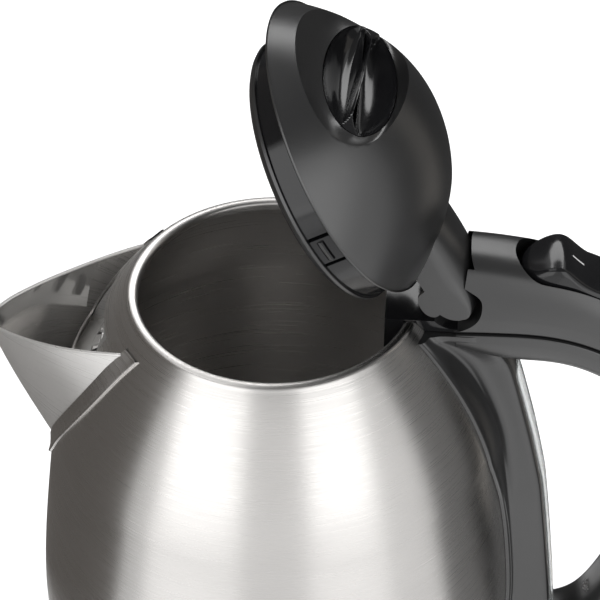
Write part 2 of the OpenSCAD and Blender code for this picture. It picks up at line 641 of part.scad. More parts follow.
// Raised back of the lid that runs into the arm, by distance from the jug's axis
ridge_path = [[0, 29.5], [8, 27.6], [16, 25], [26, 21.6], [36, 18], [46, 14.4]];
function ridge_rise(x, wall) = lookup(x, ridge_path) - 0.4 - wall;
function dome_height(x, y, share, h) =
    let (dome = dome_rise(share, h), back = max(dome, ridge_rise(x, dome_h - h)))
    mix(dome, back, exp(-pow(y / 11.5, 4)) * min(1, max(0, (x - 4) / 12)));
function dome_ring(share, r, h) = [for (i = [0:47])
    let (turn = 180 - i * 7.5, reach = dome_reach(turn, r) * share,
         x = -dome_ahead - reach * cos(turn), y = reach * sin(turn))
    [x, y, lid_seat + dome_height(x, y, share, h)]];
module dome_form(r, h) {
    shares = [0.992, 0.975, 0.94, 0.88, 0.79, 0.67, 0.53, 0.38, 0.23, 0.09];
    foot = [for (p = dome_ring(1, r, h)) [p[0], p[1], lid_seat - (r < dome_r ? 1 : 0)]];
    wall = [for (p = dome_ring(1, r, h)) [p[0], p[1], p[2] + 0.8]];
    skin(concat([foot, wall], [for (s = shares) dome_ring(s, r, h)]));
}
module scoop(grow) {
    translate([scoop_at[0], 0, rim_z + scoop_at[1]]) rotate([0, -scoop_tilt, 0])
        resize(2 * [scoop_axes[0] + grow, scoop_axes[1] + grow, scoop_axes[2] + grow]) sphere(r = 20, $fn = 36);
}
module at_grip() {
    translate([grip_at[0], 0, rim_z + grip_at[1]]) rotate([0, -grip_tilt, 0]) children();
}
module grip_oval(grow, h) {
    linear_extrude(h) resize(2 * [grip_axes[0] + grow, grip_axes[1] + grow]) circle(r = 20, $fn = 64);
}
module arm_gap() {
    translate([arm_front, -arm_half_w - fit, rim_z - 20]) cube([40, 2 * (arm_half_w + fit), 60]);
}
module lid_cover() {
    color("#3c3c3e") opened() difference() {
        dome_form(dome_r, dome_h);
        difference() {
            dome_form(dome_r - lid_wall, dome_h - lid_wall);
            scoop(lid_wall);
        }
        scoop(0);
        at_grip() translate([0, 0, -12]) grip_oval(fit, 20);
        arm_gap();
    }
}
module lid_grip() {
    color("#111112") opened() at_grip() difference() {
        translate([0, 0, -7]) grip_oval(0, 7.4);
        for (side = [-1, 1]) translate([side * 5.9, 0, 0.4]) rotate([90, 0, 0])
            resize([9.6, 9, 43]) sphere(r = 20, $fn = 28);
        translate([0, 0, 9.2]) rotate([90, 0, 0]) cylinder(r = 11, h = 34, center = true);
    }
}
module lid_arm() {
    x = hinge_x;
    z = hinge_z;
    color("#3c3c3e") opened() difference() {
        along_y(2 * arm_half_w) union() {
            translate([x, z]) circle(r = knuckle_r, $fn = 48);
            polygon([[arm_front, rim_z + 1], [x - 6, rim_z + 1], [x - 1.4, z - 7.6], [x - 0.4, z - 7.8],
                [x + 1.2, z - 5], [x + 3.2, z + 1.6],
                [x + 1, z + 4.4], [x - 3, z + 6.6], [50, rim_z + 13.9], [46.3, rim_z + 14.7], [36, rim_z + 18.2],
                [arm_front, rim_z + 20.4]]);
        }
        // slots for the bracket's lugs
        for (side = [-1, 1]) translate([x, side * (lug_in + lug_out) / 2, z]) rotate([90, 0, 0])
            cylinder(r = knuckle_r + 3.6, h = lug_out - lug_in + 2 * fit, center = true);
        for (side = [-1, 1]) translate([x - 12, side * (lug_in + lug_out) / 2 - (lug_out - lug_in) / 2 - fit,
            rim_z - 5]) cube([20, lug_out - lug_in + 2 * fit, 8]);
        translate([x, 0, z]) rotate([90, 0, 0]) cylinder(r = pin_r + pin_play, h = 60, center = true);
        // screw bosses' bores
        for (side = [-1, 1]) translate([arm_front + 5, side * 7, rim_z]) cylinder(r = 1.3, h = 9);
    }
}
module plug_notch() {
    translate([arm_front + 3, -notch_half_w, rim_z - 30]) cube([40, 2 * notch_half_w, 60]);
}
catch_turns = [150, 270, 30];
module lid_skirt() {
    foot = rim_z - plug_depth;
    color("#323234") opened() difference() {
        union() {
            difference() {
                union() {
                    rotate_extrude() polygon([[plug_r - lid_wall, foot], [plug_r, foot],
                        [plug_r, rim_z - 0.6], [plug_r - 0.6, rim_z + 0.1], [plug_r - 3, rim_z + 0.3],
                        [plug_r - 3.8, rim_z + 1.6], [plug_r - lid_wall - 3.6, rim_z + 1.6],
                        [plug_r - lid_wall, rim_z - 1]]);
                    // flange inside the cover's edge
                    translate([-dome_ahead, 0, rim_z + 0.75]) difference() {
                        cylinder(r = dome_r - lid_wall - 1.1, h = 0.85);
                        translate([dome_ahead, 0, -1]) cylinder(r = plug_r - 4, h = 5);
                    }
                }
                plug_notch();
            }
            for (turn = boss_turns) rotate([0, 0, turn]) translate([boss_r, 0, foot]) cylinder(r = 3, h = 10.6);
            for (turn = boss_turns) rotate([0, 0, turn]) translate([boss_r, -0.8, foot])
                cube([plug_r - boss_r - 1, 1.6, 10]);
            // tongues of the snap catches
            for (turn = catch_turns) rotate([0, 0, turn]) intersection() {
                translate([plug_r - 1.2, -3.5, foot + 2]) cube([2.2, 7, 3]);
                rotate_extrude() polygon([[plug_r - 1.2, foot + 2], [plug_r, foot + 2], [plug_r + 0.7, foot + 3.4],
                    [plug_r + 0.7, foot + 4], [plug_r - 1.2, foot + 5]]);
            }
        }
        // slots that free each catch
        for (turn = catch_turns, side = [-1, 1]) rotate([0, 0, turn])
            translate([plug_r - 4, side * 5 - 0.6, foot - 1]) cube([8, 1.2, 8]);
        for (turn = boss_turns) rotate([0, 0, turn]) translate([boss_r, 0, foot - 1]) cylinder(r = 1.3, h = 10.6);
        translate([arm_front - 4, -arm_half_w - 1, rim_z + 0.8]) cube([30, 2 * arm_half_w + 2, 5]);
    }
}
boss_r = 33;
boss_turns = [60, 180, 300];
module lid_plate() {
    foot = rim_z - plug_depth;
    color("#2a2a2c") opened() difference() {
        rotate_extrude() polygon([[0, foot - plate_t], [plate_r - 2.2, foot - plate_t],
            [plate_r - 0.9, foot - plate_t + 1], [plate_r, foot - 1], [plate_r, foot - 0.05], [0, foot - 0.05]]);
        plug_notch();
        for (turn = boss_turns) rotate([0, 0, turn]) translate([boss_r, 0, foot - plate_t - 1])
            cylinder(r = 1.6, h = 10);
        for (turn = boss_turns) rotate([0, 0, turn]) translate([boss_r, 0, foot - plate_t - 1])
            cylinder(r = 2.9, h = 2.2);
        // steam holes toward the handle
        for (k = [-2:2]) translate([24, 4.4 * k, foot - 10]) cylinder(r = 1.4, h = 20, $fn = 24);
    }
}
module lid_screws() {
    foot = rim_z - plug_depth - plate_t;
    color("#a0a0a0") opened() for (turn = boss_turns) rotate([0, 0, turn]) translate([boss_r, 0, foot + 0.2]) {
        cylinder(r = 2.7, h = 0.9);
        cylinder(r = 1.25, h = 9);
    }
}

// ---------- power base ----------
plate_foot = pad_out;
plate_thick = 2.5;
pad_at = base_r - 16;
base_screw_at = base_r - 12;
bush_z = 9.8;
bush_out = cord_bore_r + 2.2;
module deck_cover() {
    color("#242425") difference() {
        rotate_extrude() polygon([[base_r - 1.2, plate_foot + 0.4], [base_r, 4], [base_r, deck_z - 7],
            [base_r - 0.8, deck_z - 3], [base_r - 3, deck_z - 0.7], [base_r - 6, deck_z], [socket_out + 14, deck_z],
            [socket_out + 11, deck_z - 1.5], [post_r + 1.2, deck_z - 1.5], [post_r + 1.2, deck_z - 4],
            [socket_out + 11, deck_z - 4], [socket_out + 14, deck_z - moulding_t],
            [base_r - 7, deck_z - moulding_t], [base_r - moulding_t - 1.6, deck_z - 4],
            [base_r - moulding_t, deck_z - 8], [base_r - moulding_t, plate_foot + 0.4]]);
        translate([0, base_r + 1, bush_z]) rotate([90, 0, 0]) cylinder(r = bush_out + fit, h = 8);
    }
    color("#242425") for (k = [0:3]) rotate([0, 0, 45 + 90 * k]) translate([base_screw_at, 0, 0]) difference() {
        translate([0, 0, plate_foot + plate_thick + 0.1]) cylinder(r = 4, h = deck_z - plate_foot - plate_thick - 2);
        translate([0, 0, plate_foot]) cylinder(r = 1.5, h = 12);
    }
}
module base_plate() {
    color("#2d2d2e") difference() {
        union() {
            translate([0, 0, plate_foot]) cylinder(r = base_r - moulding_t - fit, h = plate_thick);
            translate([0, 0, plate_foot]) cylinder(r = post_r + 9, h = 9);
        }
        for (k = [0:3]) rotate([0, 0, 90 * k]) translate([pad_at, 0, plate_foot - 1])
            cylinder(r = pad_r + 0.1, h = 2.5);
        for (k = [0:3]) rotate([0, 0, 45 + 90 * k]) translate([base_screw_at, 0, plate_foot - 1]) {
            cylinder(r = 1.8, h = 10);
            cylinder(r = 3.3, h = 2);
        }
        translate([0, 0, plate_foot + plate_thick]) cylinder(r = post_r + 6, h = 20);
    }
}
module base_feet() {
    color("#121212") for (k = [0:3]) rotate([0, 0, 90 * k]) translate([pad_at, 0, 0]) union() {
        cylinder(r1 = pad_r - 0.5, r2 = pad_r, h = 0.6);
        translate([0, 0, 0.6]) cylinder(r = pad_r, h = plate_foot + 0.9);
    }
}
post_top = deck_z + 13;
contact_grooves = [[7.4, 9.4], [3.2, 5.2]];
module base_connector() {
    foot = plate_foot + plate_thick;
    color("#161616") difference() {
        union() {
            translate([0, 0, foot]) cylinder(r = post_r + 5, h = 9);
            translate([0, 0, foot]) cylinder(r = post_r, h = post_top - foot - 1.2);
            translate([0, 0, post_top - 1.2]) cylinder(r1 = post_r, r2 = post_r - 1.2, h = 1.2);
        }
        for (g = contact_grooves) translate([0, 0, post_top - 9]) difference() {
            cylinder(r = g[1], h = 20);
            translate([0, 0, -1]) cylinder(r = g[0], h = 30);
        }
        translate([0, 0, post_top - 9]) cylinder(r = 1.5, h = 20);
    }
}
module base_contacts() {
    color("#b88a4a") {
        for (g = contact_grooves) translate([0, 0, post_top - 9]) difference() {
            cylinder(r = g[0] + 0.7, h = 6);
            translate([0, 0, -1]) cylinder(r = g[0] + 0.05, h = 20);
        }
        translate([0, 0, post_top - 9]) cylinder(r = 1.3, h = 7.5);
    }
}
module base_screws() {
    color("#8c8c8c") for (k = [0:3]) rotate([0, 0, 45 + 90 * k]) translate([base_screw_at, 0, plate_foot + 0.05]) {
        cylinder(r = 3, h = 0.9);
        cylinder(r = 1.45, h = 9);
    }
}
module cord_bush() {
    color("#191919") translate([0, base_r - moulding_t - 3.4, bush_z]) rotate([-90, 0, 0]) difference() {
        union() {
            cylinder(r = bush_out, h = moulding_t + 6);
            cylinder(r = bush_out + 0.6, h = 1.6);
        }
        translate([0, 0, -1]) cylinder(r = cord_bore_r, h = 20);
    }
}

// ---- show ----
body_shell();
spout();
strainer();
vessel_floor();
heat_spreader();
heating_element();
control_unit();
safety_discs();
jug_socket();
jug_base();
base_seal();
jug_base_screws();
handle_upper();
handle_lower();
handle_screws();
gauge_window();
gauge_seal();
hinge_bracket();
hinge_pin();
power_switch();
switch_pin();
steam_switch();
steam_disc();
switch_lever();
lid_cover();
lid_arm();
lid_skirt();
lid_plate();
lid_grip();
lid_screws();
deck_cover();
base_plate();
base_feet();
base_connector();
base_contacts();
base_screws();
cord_bush();
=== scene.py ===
"""Electric kettle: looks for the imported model, laid out as a Blender add-on."""

import json
import math

import bmesh
import bpy
import numpy as np
from mathutils import Matrix, Quaternion, Vector


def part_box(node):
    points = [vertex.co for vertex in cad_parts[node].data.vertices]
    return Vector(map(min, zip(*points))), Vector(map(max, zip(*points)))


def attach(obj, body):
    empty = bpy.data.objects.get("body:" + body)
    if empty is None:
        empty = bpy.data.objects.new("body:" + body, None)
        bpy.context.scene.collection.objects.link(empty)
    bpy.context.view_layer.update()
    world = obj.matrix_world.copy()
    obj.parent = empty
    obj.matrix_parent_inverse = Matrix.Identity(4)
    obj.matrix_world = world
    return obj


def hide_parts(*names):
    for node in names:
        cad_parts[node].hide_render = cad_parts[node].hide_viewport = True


bl_info = {
    "name": "Electric Kettle",
    "version": (1, 0, 0),
    "blender": (4, 5, 0),
    "location": "View3D > Sidebar > Kettle",
    "description": "Builds the shells, lid, handle and finishes of a cordless kettle",
    "category": "Add Mesh",
}

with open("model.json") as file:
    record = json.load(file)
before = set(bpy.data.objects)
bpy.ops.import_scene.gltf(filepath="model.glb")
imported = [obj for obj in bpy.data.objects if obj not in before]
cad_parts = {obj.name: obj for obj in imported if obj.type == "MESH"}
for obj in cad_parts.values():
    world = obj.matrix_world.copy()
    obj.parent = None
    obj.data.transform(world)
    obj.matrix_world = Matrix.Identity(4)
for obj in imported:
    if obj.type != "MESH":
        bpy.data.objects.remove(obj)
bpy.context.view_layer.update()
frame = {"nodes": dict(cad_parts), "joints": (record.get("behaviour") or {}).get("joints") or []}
NODES = frame["nodes"]
JOINTS = {joint["name"]: joint for joint in frame["joints"]}
HINGE, ROCK = JOINTS["lid_hinge"], JOINTS["switch_rock"]
FOOT_Z, RIM_Z = (corner[2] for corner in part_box("body_shell"))
MM = 0.001


# ---- sizes and colours


def length(name, description, default):
    """A length in metres for the panel."""
    return bpy.props.FloatProperty(
        name=name, description=description, default=default, unit="LENGTH", precision=4
    )


def turn_angle(name, description, default):
    """An angle in radians for the panel."""
    return bpy.props.FloatProperty(
        name=name, description=description, default=default, subtype="ANGLE"
    )


def colour(name, description, default):
    """A linear colour for the panel."""
    return bpy.props.FloatVectorProperty(
        name=name, description=description, default=default, size=3, subtype="COLOR", min=0, max=1
    )


class KettleJugSizes(bpy.types.PropertyGroup):
    """Sizes of the steel jug."""

    mouth_r: length("Mouth radius", "Radius of the mouth at the rim", 43.4 * MM)
    rim_band: length("Rim band", "Width of the rolled rim", 3.7 * MM)
    rim_depth: length("Rim depth", "Depth of the rolled rim", 3.2 * MM)
    shoulder_r: length("Shoulder radius", "Radius where the shoulder turns down", 73 * MM)
    shoulder_drop: length("Shoulder drop", "Depth of that turn below the rim", 51 * MM)
    belly_r: length("Belly radius", "Largest radius of the jug", 81.3 * MM)
    belly_drop: length("Belly drop", "Depth of the largest radius below the rim", 128 * MM)
    foot_r: length("Foot radius", "Radius of the steel at its lower edge", 79 * MM)
    sheet: length("Sheet", "Sheet thickness of the jug", 0.7 * MM)
    window_half_angle: turn_angle(
        "Window half angle", "Half of the angle that the window behind the spout takes", math.radians(18)
    )


class KettleSpoutSizes(bpy.types.PropertyGroup):
    """Sizes of the folded spout."""

    reach: length("Reach", "Distance of the tip from the jug's axis", 95 * MM)
    tip_drop: length("Tip drop", "Depth of the tip below the rim", 12 * MM)
    half_w: length("Half width", "Half width at the root", 27.8 * MM)
    root_drop: length("Root drop", "Depth of the root below the rim", 5.5 * MM)
    keel_drop: length("Keel drop", "Depth below the rim where the fold meets the jug", 69 * MM)
    flange_w: length("Flange", "Width of the welded flange", 6.0 * MM)
    sheet: length("Sheet", "Sheet thickness of the spout", 1.0 * MM)


class KettleHandleSizes(bpy.types.PropertyGroup):
    """Sizes of the handle."""

    half_w: length("Half width", "Half width at the seam", 14.5 * MM)
    grip_x: length("Grip", "Distance of the grip's seam from the jug's axis", 136 * MM)
    crest_half_w: length("Crest", "Half width of the crest with the gauge", 8 * MM)
    gauge_half_w: length("Gauge", "Half width of the water gauge", 6 * MM)


class KettleLidSizes(bpy.types.PropertyGroup):
    """Sizes of the lid."""

    dome_r: length("Dome radius", "Radius of the domed cover", 46.3 * MM)
    dome_ahead: length("Dome offset", "Distance of the dome's centre from the axis", 4.9 * MM)
    dome_h: length("Dome height", "Height of the dome", 29.5 * MM)
    wall: length("Wall", "Wall thickness of the cover", 2.2 * MM)
    open_angle: turn_angle(
        "Opening angle", "Angle at which the lid stands open at rest", math.radians(-HINGE["range_deg"][0])
    )


class KettleColours(bpy.types.PropertyGroup):
    """Colours of the finishes."""

    steel: colour("Steel", "Brushed steel of the jug", (0.62, 0.605, 0.59))
    bright: colour("Bright steel", "Smooth steel of the spout", (0.66, 0.65, 0.635))
    satin_black: colour(
        "Satin black", "Textured plastic of the lid and the handle", (0.013, 0.013, 0.0135)
    )
    gloss_black: colour("Gloss black", "Polished plastic", (0.010, 0.010, 0.011))
    base_black: colour("Base black", "Plastic of the power base", (0.018, 0.018, 0.019))
    pale: colour("Pale", "Pale mouldings inside", (0.62, 0.58, 0.50))
    mark: colour("Mark", "Printed mark on the switch", (0.85, 0.85, 0.85))


def sizes(group):
    """One group of sizes, or the colours, from the scene."""
    return getattr(bpy.context.scene, "kettle_" + group)


# ---- curves


def bezier_at(points, t):
    """Points of a cubic curve at the parameters t."""
    a, b, c, d = points
    return (1 - t) ** 3 * a + 3 * t * (1 - t) ** 2 * b + 3 * t**2 * (1 - t) * c + t**3 * d


def bezier(points, count):
    """Points along a cubic curve, the last one left out."""
    t = np.linspace(0, 1, count, endpoint=False)[:, None]
    return bezier_at(np.array(points, float), t)


def spline(points, u):
    """Natural cubic spline through evenly numbered points, at the parameters u."""
    p = np.array(points, float)
    n = len(p)
    system = np.zeros((n, n))
    right = np.zeros_like(p)
    system[0, 0] = system[-1, -1] = 1
    for i in range(1, n - 1):
        system[i, i - 1 : i + 2] = (1, 4, 1)
        right[i] = 6 * (p[i + 1] - 2 * p[i] + p[i - 1])
    bend = np.linalg.solve(system, right)
    u = np.atleast_1d(np.asarray(u, float))
    i = np.clip(np.floor(u).astype(int), 0, n - 2)
    t = (u - i)[:, None]
    a, b, ma, mb = p[i], p[i + 1], bend[i], bend[i + 1]
    return a * (1 - t) + b * t + ((1 - t) ** 3 - (1 - t)) * ma / 6 + (t**3 - t) * mb / 6


def soft_lookup(path, at, reach):
    """Straight runs between (position, value) pairs, with their corners rounded over reach."""
    path = np.array(sorted(path), float)
    weights = np.array([1, 4, 6, 4, 1]) / 16
    steps = np.linspace(-reach, reach, 5)
    return sum(w * np.interp(at + s, path[:, 0], path[:, 1]) for w, s in zip(weights, steps))


def whole_spline(points, count):
    """So many points along the spline, from its first point to its last."""
    return spline(points, np.linspace(0, len(points) - 1, count))


def clamp(x):
    """The value held between 0 and 1."""
    return min(1, max(0, x))


def smooth_step(x):
    """0 to 1 with level ends."""
    x = clamp(x)
    return x * x * (3 - 2 * x)


def along(path):
    """Unit direction of a path at each of its points."""
    ahead = np.gradient(path, axis=0)
    return ahead / np.linalg.norm(ahead, axis=1)[:, None]


def mirrored(half):
    """Half a section as (across, out) pairs up to its middle, carried on to the other side."""
    return half + [(-across, out) for across, out in half[-2::-1]]


def turns(count):
    """Angles evenly round a full turn."""
    return [2 * math.pi * k / count for k in range(count)]


# ---- meshes


def add_object(name, data):
    """A new object in the scene."""
    thing = bpy.data.objects.new(name, data)
    bpy.context.scene.collection.objects.link(thing)
    return thing


def new_mesh(name, points, faces):
    """A mesh from its points and faces."""
    mesh = bpy.data.meshes.new(name)
    mesh.from_pydata([tuple(p) for p in points], [], faces)
    return mesh


def mesh_piece(name, points, faces, body, slot, replaces=(), finish=None):
    """A smooth mesh in the row frame that rides on a body, in its slot's finish or another one."""
    mesh = new_mesh(name, points, faces)
    mesh.validate()
    mesh.update()
    mesh.shade_smooth()
    piece = add_object(name, mesh)
    mesh.materials.append(FINISHES[finish or slot])
    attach(piece, body)
    if replaces:
        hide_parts(*replaces)
    return piece


def grid_faces(rows, columns, wrap=False, keep=None):
    """Quads between the points of a grid, row by row; wrap joins the last column to the first."""
    faces = []
    for i in range(rows - 1):
        a, b = i * columns, (i + 1) * columns
        for j in range(columns if wrap else columns - 1):
            if keep is None or keep(i, j):
                k = (j + 1) % columns
                faces.append((a + j, a + k, b + k, b + j))
    return faces


def closed_solid(rings):
    """Points and faces of equal rings in a row, with a cap of many sides at each end."""
    count, points = len(rings[0]), [p for ring in rings for p in ring]
    faces = grid_faces(len(rings), count, True)
    faces.append(tuple(range(count - 1, -1, -1)))
    faces.append(tuple(range(len(points) - count, len(points))))
    return points, faces


def apply_modifiers(piece):
    """Turns the piece's modifiers into mesh."""
    depsgraph = bpy.context.evaluated_depsgraph_get()
    mesh = bpy.data.meshes.new_from_object(piece.evaluated_get(depsgraph))
    old = piece.data
    piece.modifiers.clear()
    piece.data = mesh
    bpy.data.meshes.remove(old)


def face_outward(piece):
    """Turns the faces of a closed piece outward."""
    work = bmesh.new()
    work.from_mesh(piece.data)
    bmesh.ops.remove_doubles(work, verts=work.verts, dist=1e-6)
    bmesh.ops.recalc_face_normals(work, faces=work.faces)
    work.to_mesh(piece.data)
    work.free()


def closed_cutter(rings):
    """A loose closed mesh for a cut."""
    mesh = new_mesh("cutter", *closed_solid(rings))
    mesh.update()
    cutter = add_object("cutter", mesh)
    face_outward(cutter)
    return cutter


def cut(piece, cutters):
    """Cuts each cutter out of the piece and removes the cutters."""
    for cutter in cutters:
        boolean = piece.modifiers.new("cut", "BOOLEAN")
        boolean.operation = "DIFFERENCE"
        boolean.solver = "EXACT"
        boolean.object = cutter
    apply_modifiers(piece)
    for cutter in cutters:
        bpy.data.objects.remove(cutter)


def crease_shading(piece, angle):
    """Smooth shading that keeps edges sharper than the angle."""
    piece.data.shade_smooth()
    piece.data.set_sharp_from_angle(angle=math.radians(angle))


def swept_piece(name, rings, body, slot, replaces=(), angle=38):
    """A closed tube of rings with the same number of points."""
    piece = mesh_piece(name, *closed_solid(rings), body, slot, replaces)
    face_outward(piece)
    crease_shading(piece, angle)
    return piece


def sheet_metal(piece, thickness, inside):
    """Gives a sheet its thickness, inward, with another finish inside."""
    piece.data.materials.append(FINISHES[inside])
    solid = piece.modifiers.new("sheet", "SOLIDIFY")
    solid.thickness = thickness
    solid.offset = -1
    solid.material_offset = 1
    apply_modifiers(piece)
    crease_shading(piece, 40)


def round_edges(piece, width, angle):
    """A small bevel on edges sharper than the angle, left as a modifier."""
    bevel = piece.modifiers.new("edges", "BEVEL")
    bevel.width = width
    bevel.segments = 2
    bevel.limit_method = "ANGLE"
    bevel.angle_limit = math.radians(angle)
    bevel.harden_normals = True


# ---- finishes


def finish_base(name, base, metallic, roughness, **levels):
    """A material with its shader; the sockets that stay the same all over are set on the shader."""
    material = bpy.data.materials.new(name)
    material.use_nodes = True
    shader = material.node_tree.nodes["Principled BSDF"]
    levels.update(Base_Color=(*base, 1), Metallic=metallic, Roughness=roughness)
    for socket, level in levels.items():
        shader.inputs[socket.replace("_", " ")].default_value = level
    return material, shader


def add_node(owner, kind, **values):
    """A node of a material or the world, with its properties and named inputs set."""
    node = owner.node_tree.nodes.new(kind)
    for key, value in values.items():
        if hasattr(node, key):
            setattr(node, key, value)
        else:
            node.inputs[key.replace("_", " ")].default_value = value
    return node


def link(owner, source, target):
    """Joins an output to an input."""
    owner.node_tree.links.new(source, target)


def stretched_noise(material, scale, detail=3.0, roughness=0.55):
    """Noise in the row frame, in cells per metre along X, Y and Z."""
    place = add_node(material, "ShaderNodeTexCoord")
    mapping = add_node(material, "ShaderNodeMapping", Scale=scale)
    noise = add_node(material, "ShaderNodeTexNoise", Scale=1.0, Detail=detail, Roughness=roughness)
    link(material, place.outputs["Object"], mapping.inputs["Vector"])
    link(material, mapping.outputs["Vector"], noise.inputs["Vector"])
    return noise.outputs["Fac"]


def remap(material, value, low, high):
    """A noise value spread from low to high."""
    ramp = add_node(
        material, "ShaderNodeMapRange", From_Min=0.3, From_Max=0.7, To_Min=low, To_Max=high
    )
    link(material, value, ramp.inputs["Value"])
    return ramp.outputs["Result"]


def bump(material, shader, height, strength, distance):
    """Relief on the shader from a height value."""
    node = add_node(material, "ShaderNodeBump", Strength=strength, Distance=distance)
    link(material, height, node.inputs["Height"])
    link(material, node.outputs["Normal"], shader.inputs["Normal"])


def tint(material, shader, base, value, spread):
    """Base colour that wanders a little lighter and darker."""
    mix = add_node(material, "ShaderNodeMix", data_type="RGBA")
    low = [c * (1 - spread) for c in base]
    high = [min(1, c * (1 + spread)) for c in base]
    mix.inputs[6].default_value = (*low, 1)
    mix.inputs[7].default_value = (*high, 1)
    link(material, remap(material, value, 0, 1), mix.inputs[0])
    link(material, mix.outputs[2], shader.inputs["Base Color"])


def brushed(name, base, grain, rough, anisotropy, strength, metal=1.0):
    """Steel brushed level round the jug's axis; grain is lines per metre of height."""
    material, shader = finish_base(
        name, base, metal, sum(rough) / 2, Anisotropic=anisotropy, Anisotropic_Rotation=0.25
    )
    tangent = add_node(material, "ShaderNodeTangent", direction_type="RADIAL", axis="Z")
    link(material, tangent.outputs["Tangent"], shader.inputs["Tangent"])
    lines = stretched_noise(material, (22, 22, grain))
    clouds = stretched_noise(material, (30, 30, 45), 2.0)
    link(material, remap(material, lines, *rough), shader.inputs["Roughness"])
    tint(material, shader, base, clouds, 0.03)
    bump(material, shader, lines, strength, 0.0001)
    return material


def moulded(name, base, rough, grain, strength, spread=0.08, shine=0.5):
    """Moulded plastic with a fine spark-textured or polished surface."""
    material, shader = finish_base(
        name, base, 0.0, sum(rough) / 2, IOR=PLASTIC_IOR, Specular_IOR_Level=shine
    )
    fine = stretched_noise(material, (grain, grain, grain), 4.0, 0.6)
    clouds = stretched_noise(material, (60, 60, 60), 2.0)
    link(material, remap(material, clouds, *rough), shader.inputs["Roughness"])
    tint(material, shader, base, fine, spread)
    bump(material, shader, fine, strength, 0.00006)
    return material


def plated(name, base, rough):
    """Small metal parts: screws, pins, snap discs and contacts."""
    material, shader = finish_base(name, base, 1.0, sum(rough) / 2)
    grain = stretched_noise(material, (900, 900, 900))
    link(material, remap(material, grain, *rough), shader.inputs["Roughness"])
    tint(material, shader, base, grain, 0.06)
    bump(material, shader, grain, 0.08, 0.00005)
    return material


def clear_plastic(name):
    """The water gauge's clear moulding, with faint flow marks."""
    material, shader = finish_base(
        name, (0.90, 0.92, 0.92), 0.0, 0.04, IOR=PLASTIC_IOR, Transmission_Weight=0.82
    )
    flow = stretched_noise(material, (120, 120, 30), 2.0)
    link(material, remap(material, flow, 0.03, 0.07), shader.inputs["Roughness"])
    bump(material, shader, flow, 0.03, 0.0002)
    return material


FINISHES = {}
PLASTIC_IOR = 1.49


def build_finishes():
    """Makes each finish once, under the record's name of its slot."""
    look = sizes("colours")
    steel, bright = tuple(look.steel), tuple(look.bright)
    # Copies of the same steel at another brightness. The jug's inside is painted lighter than its outside
    # (painted light). The inner steel parts are painted darker (painted shade). The spout's inside is
    # painted darker than its outside (painted shade); its smoothness comes only from roughness.
    painted_shade_steel, painted_light_steel = tuple(0.62 * c for c in steel), tuple(1.12 * c for c in steel)
    mirror_with_painted_shade = tuple(0.8 * c for c in bright)
    recipes = {
        "shell_steel": (brushed, steel, 5200, (0.24, 0.38), 0.72, 0.22),
        "inside_steel": (brushed, painted_light_steel, 1800, (0.26, 0.36), 0.55, 0.12),
        "spout_steel": (brushed, bright, 5200, (0.26, 0.38), 0.5, 0.16, 0.6),
        "spout_inside": (brushed, mirror_with_painted_shade, 900, (0.07, 0.13), 0.2, 0.05, 0.75),
        "inner_steel": (brushed, painted_shade_steel, 2600, (0.3, 0.4), 0.3, 0.1),
        "spreader": (plated, (0.62, 0.62, 0.63), (0.38, 0.5)),
        "element": (plated, (0.21, 0.18, 0.165), (0.5, 0.62)),
        "control": (moulded, tuple(look.pale), (0.42, 0.5), 1600, 0.12),
        "disc_brass": (plated, (0.62, 0.42, 0.16), (0.25, 0.35)),
        "contact_brass": (plated, (0.66, 0.43, 0.15), (0.2, 0.3)),
        "screw_steel": (plated, (0.55, 0.55, 0.56), (0.22, 0.32)),
        "black_matte": (moulded, tuple(look.satin_black), (0.29, 0.35), 2600, 0.28, 0.08, 1.0),
        "black_gloss": (moulded, tuple(look.gloss_black), (0.10, 0.16), 700, 0.05),
        "black_base": (moulded, tuple(look.base_black), (0.26, 0.34), 1800, 0.12),
        "clear_gauge": (clear_plastic,),
        "seal_rubber": (moulded, (0.022, 0.022, 0.023), (0.6, 0.7), 1500, 0.2),
        "foot_rubber": (moulded, (0.012, 0.012, 0.012), (0.62, 0.72), 1500, 0.2),
        "white_print": (moulded, tuple(look.mark), (0.4, 0.5), 2000, 0.03, 0.02),
    }
    for name, (make, *levels) in recipes.items():
        FINISHES[name] = make(name, *levels)


# ---- jug

WINDOW_DROPS = (10 * MM, 33 * MM)
WALL_STEPS = 60
AROUND = 360


def wall_profile():
    """The jug's outside from the rim to its foot, as radius and height."""
    jug, top = sizes("jug"), RIM_Z
    shoulder = (jug.shoulder_r, top - jug.shoulder_drop)
    belly = (jug.belly_r, top - jug.belly_drop)
    foot = (jug.foot_r, FOOT_Z)
    rim = (jug.mouth_r + jug.rim_band, top - 1 * MM)
    upper = [rim, (58.5 * MM, top - 13.5 * MM), (69.5 * MM, top - 33 * MM), shoulder]
    under_shoulder, over_belly = (jug.shoulder_r + 2 * MM, top - 67 * MM), (jug.belly_r, belly[1] + 20 * MM)
    under_belly, over_foot = (jug.belly_r, belly[1] - 14 * MM), (jug.foot_r + 1 * MM, FOOT_Z + 12 * MM)
    runs = [
        bezier(upper, WALL_STEPS),
        bezier([shoulder, under_shoulder, over_belly, belly], WALL_STEPS),
        bezier([belly, under_belly, over_foot, foot], WALL_STEPS // 2),
    ]
    return np.vstack([*runs, [foot]])


def jug_r(z):
    """Outer radius of the jug at a height."""
    wall = wall_profile()
    return float(np.interp(z, wall[::-1, 1], wall[::-1, 0]))


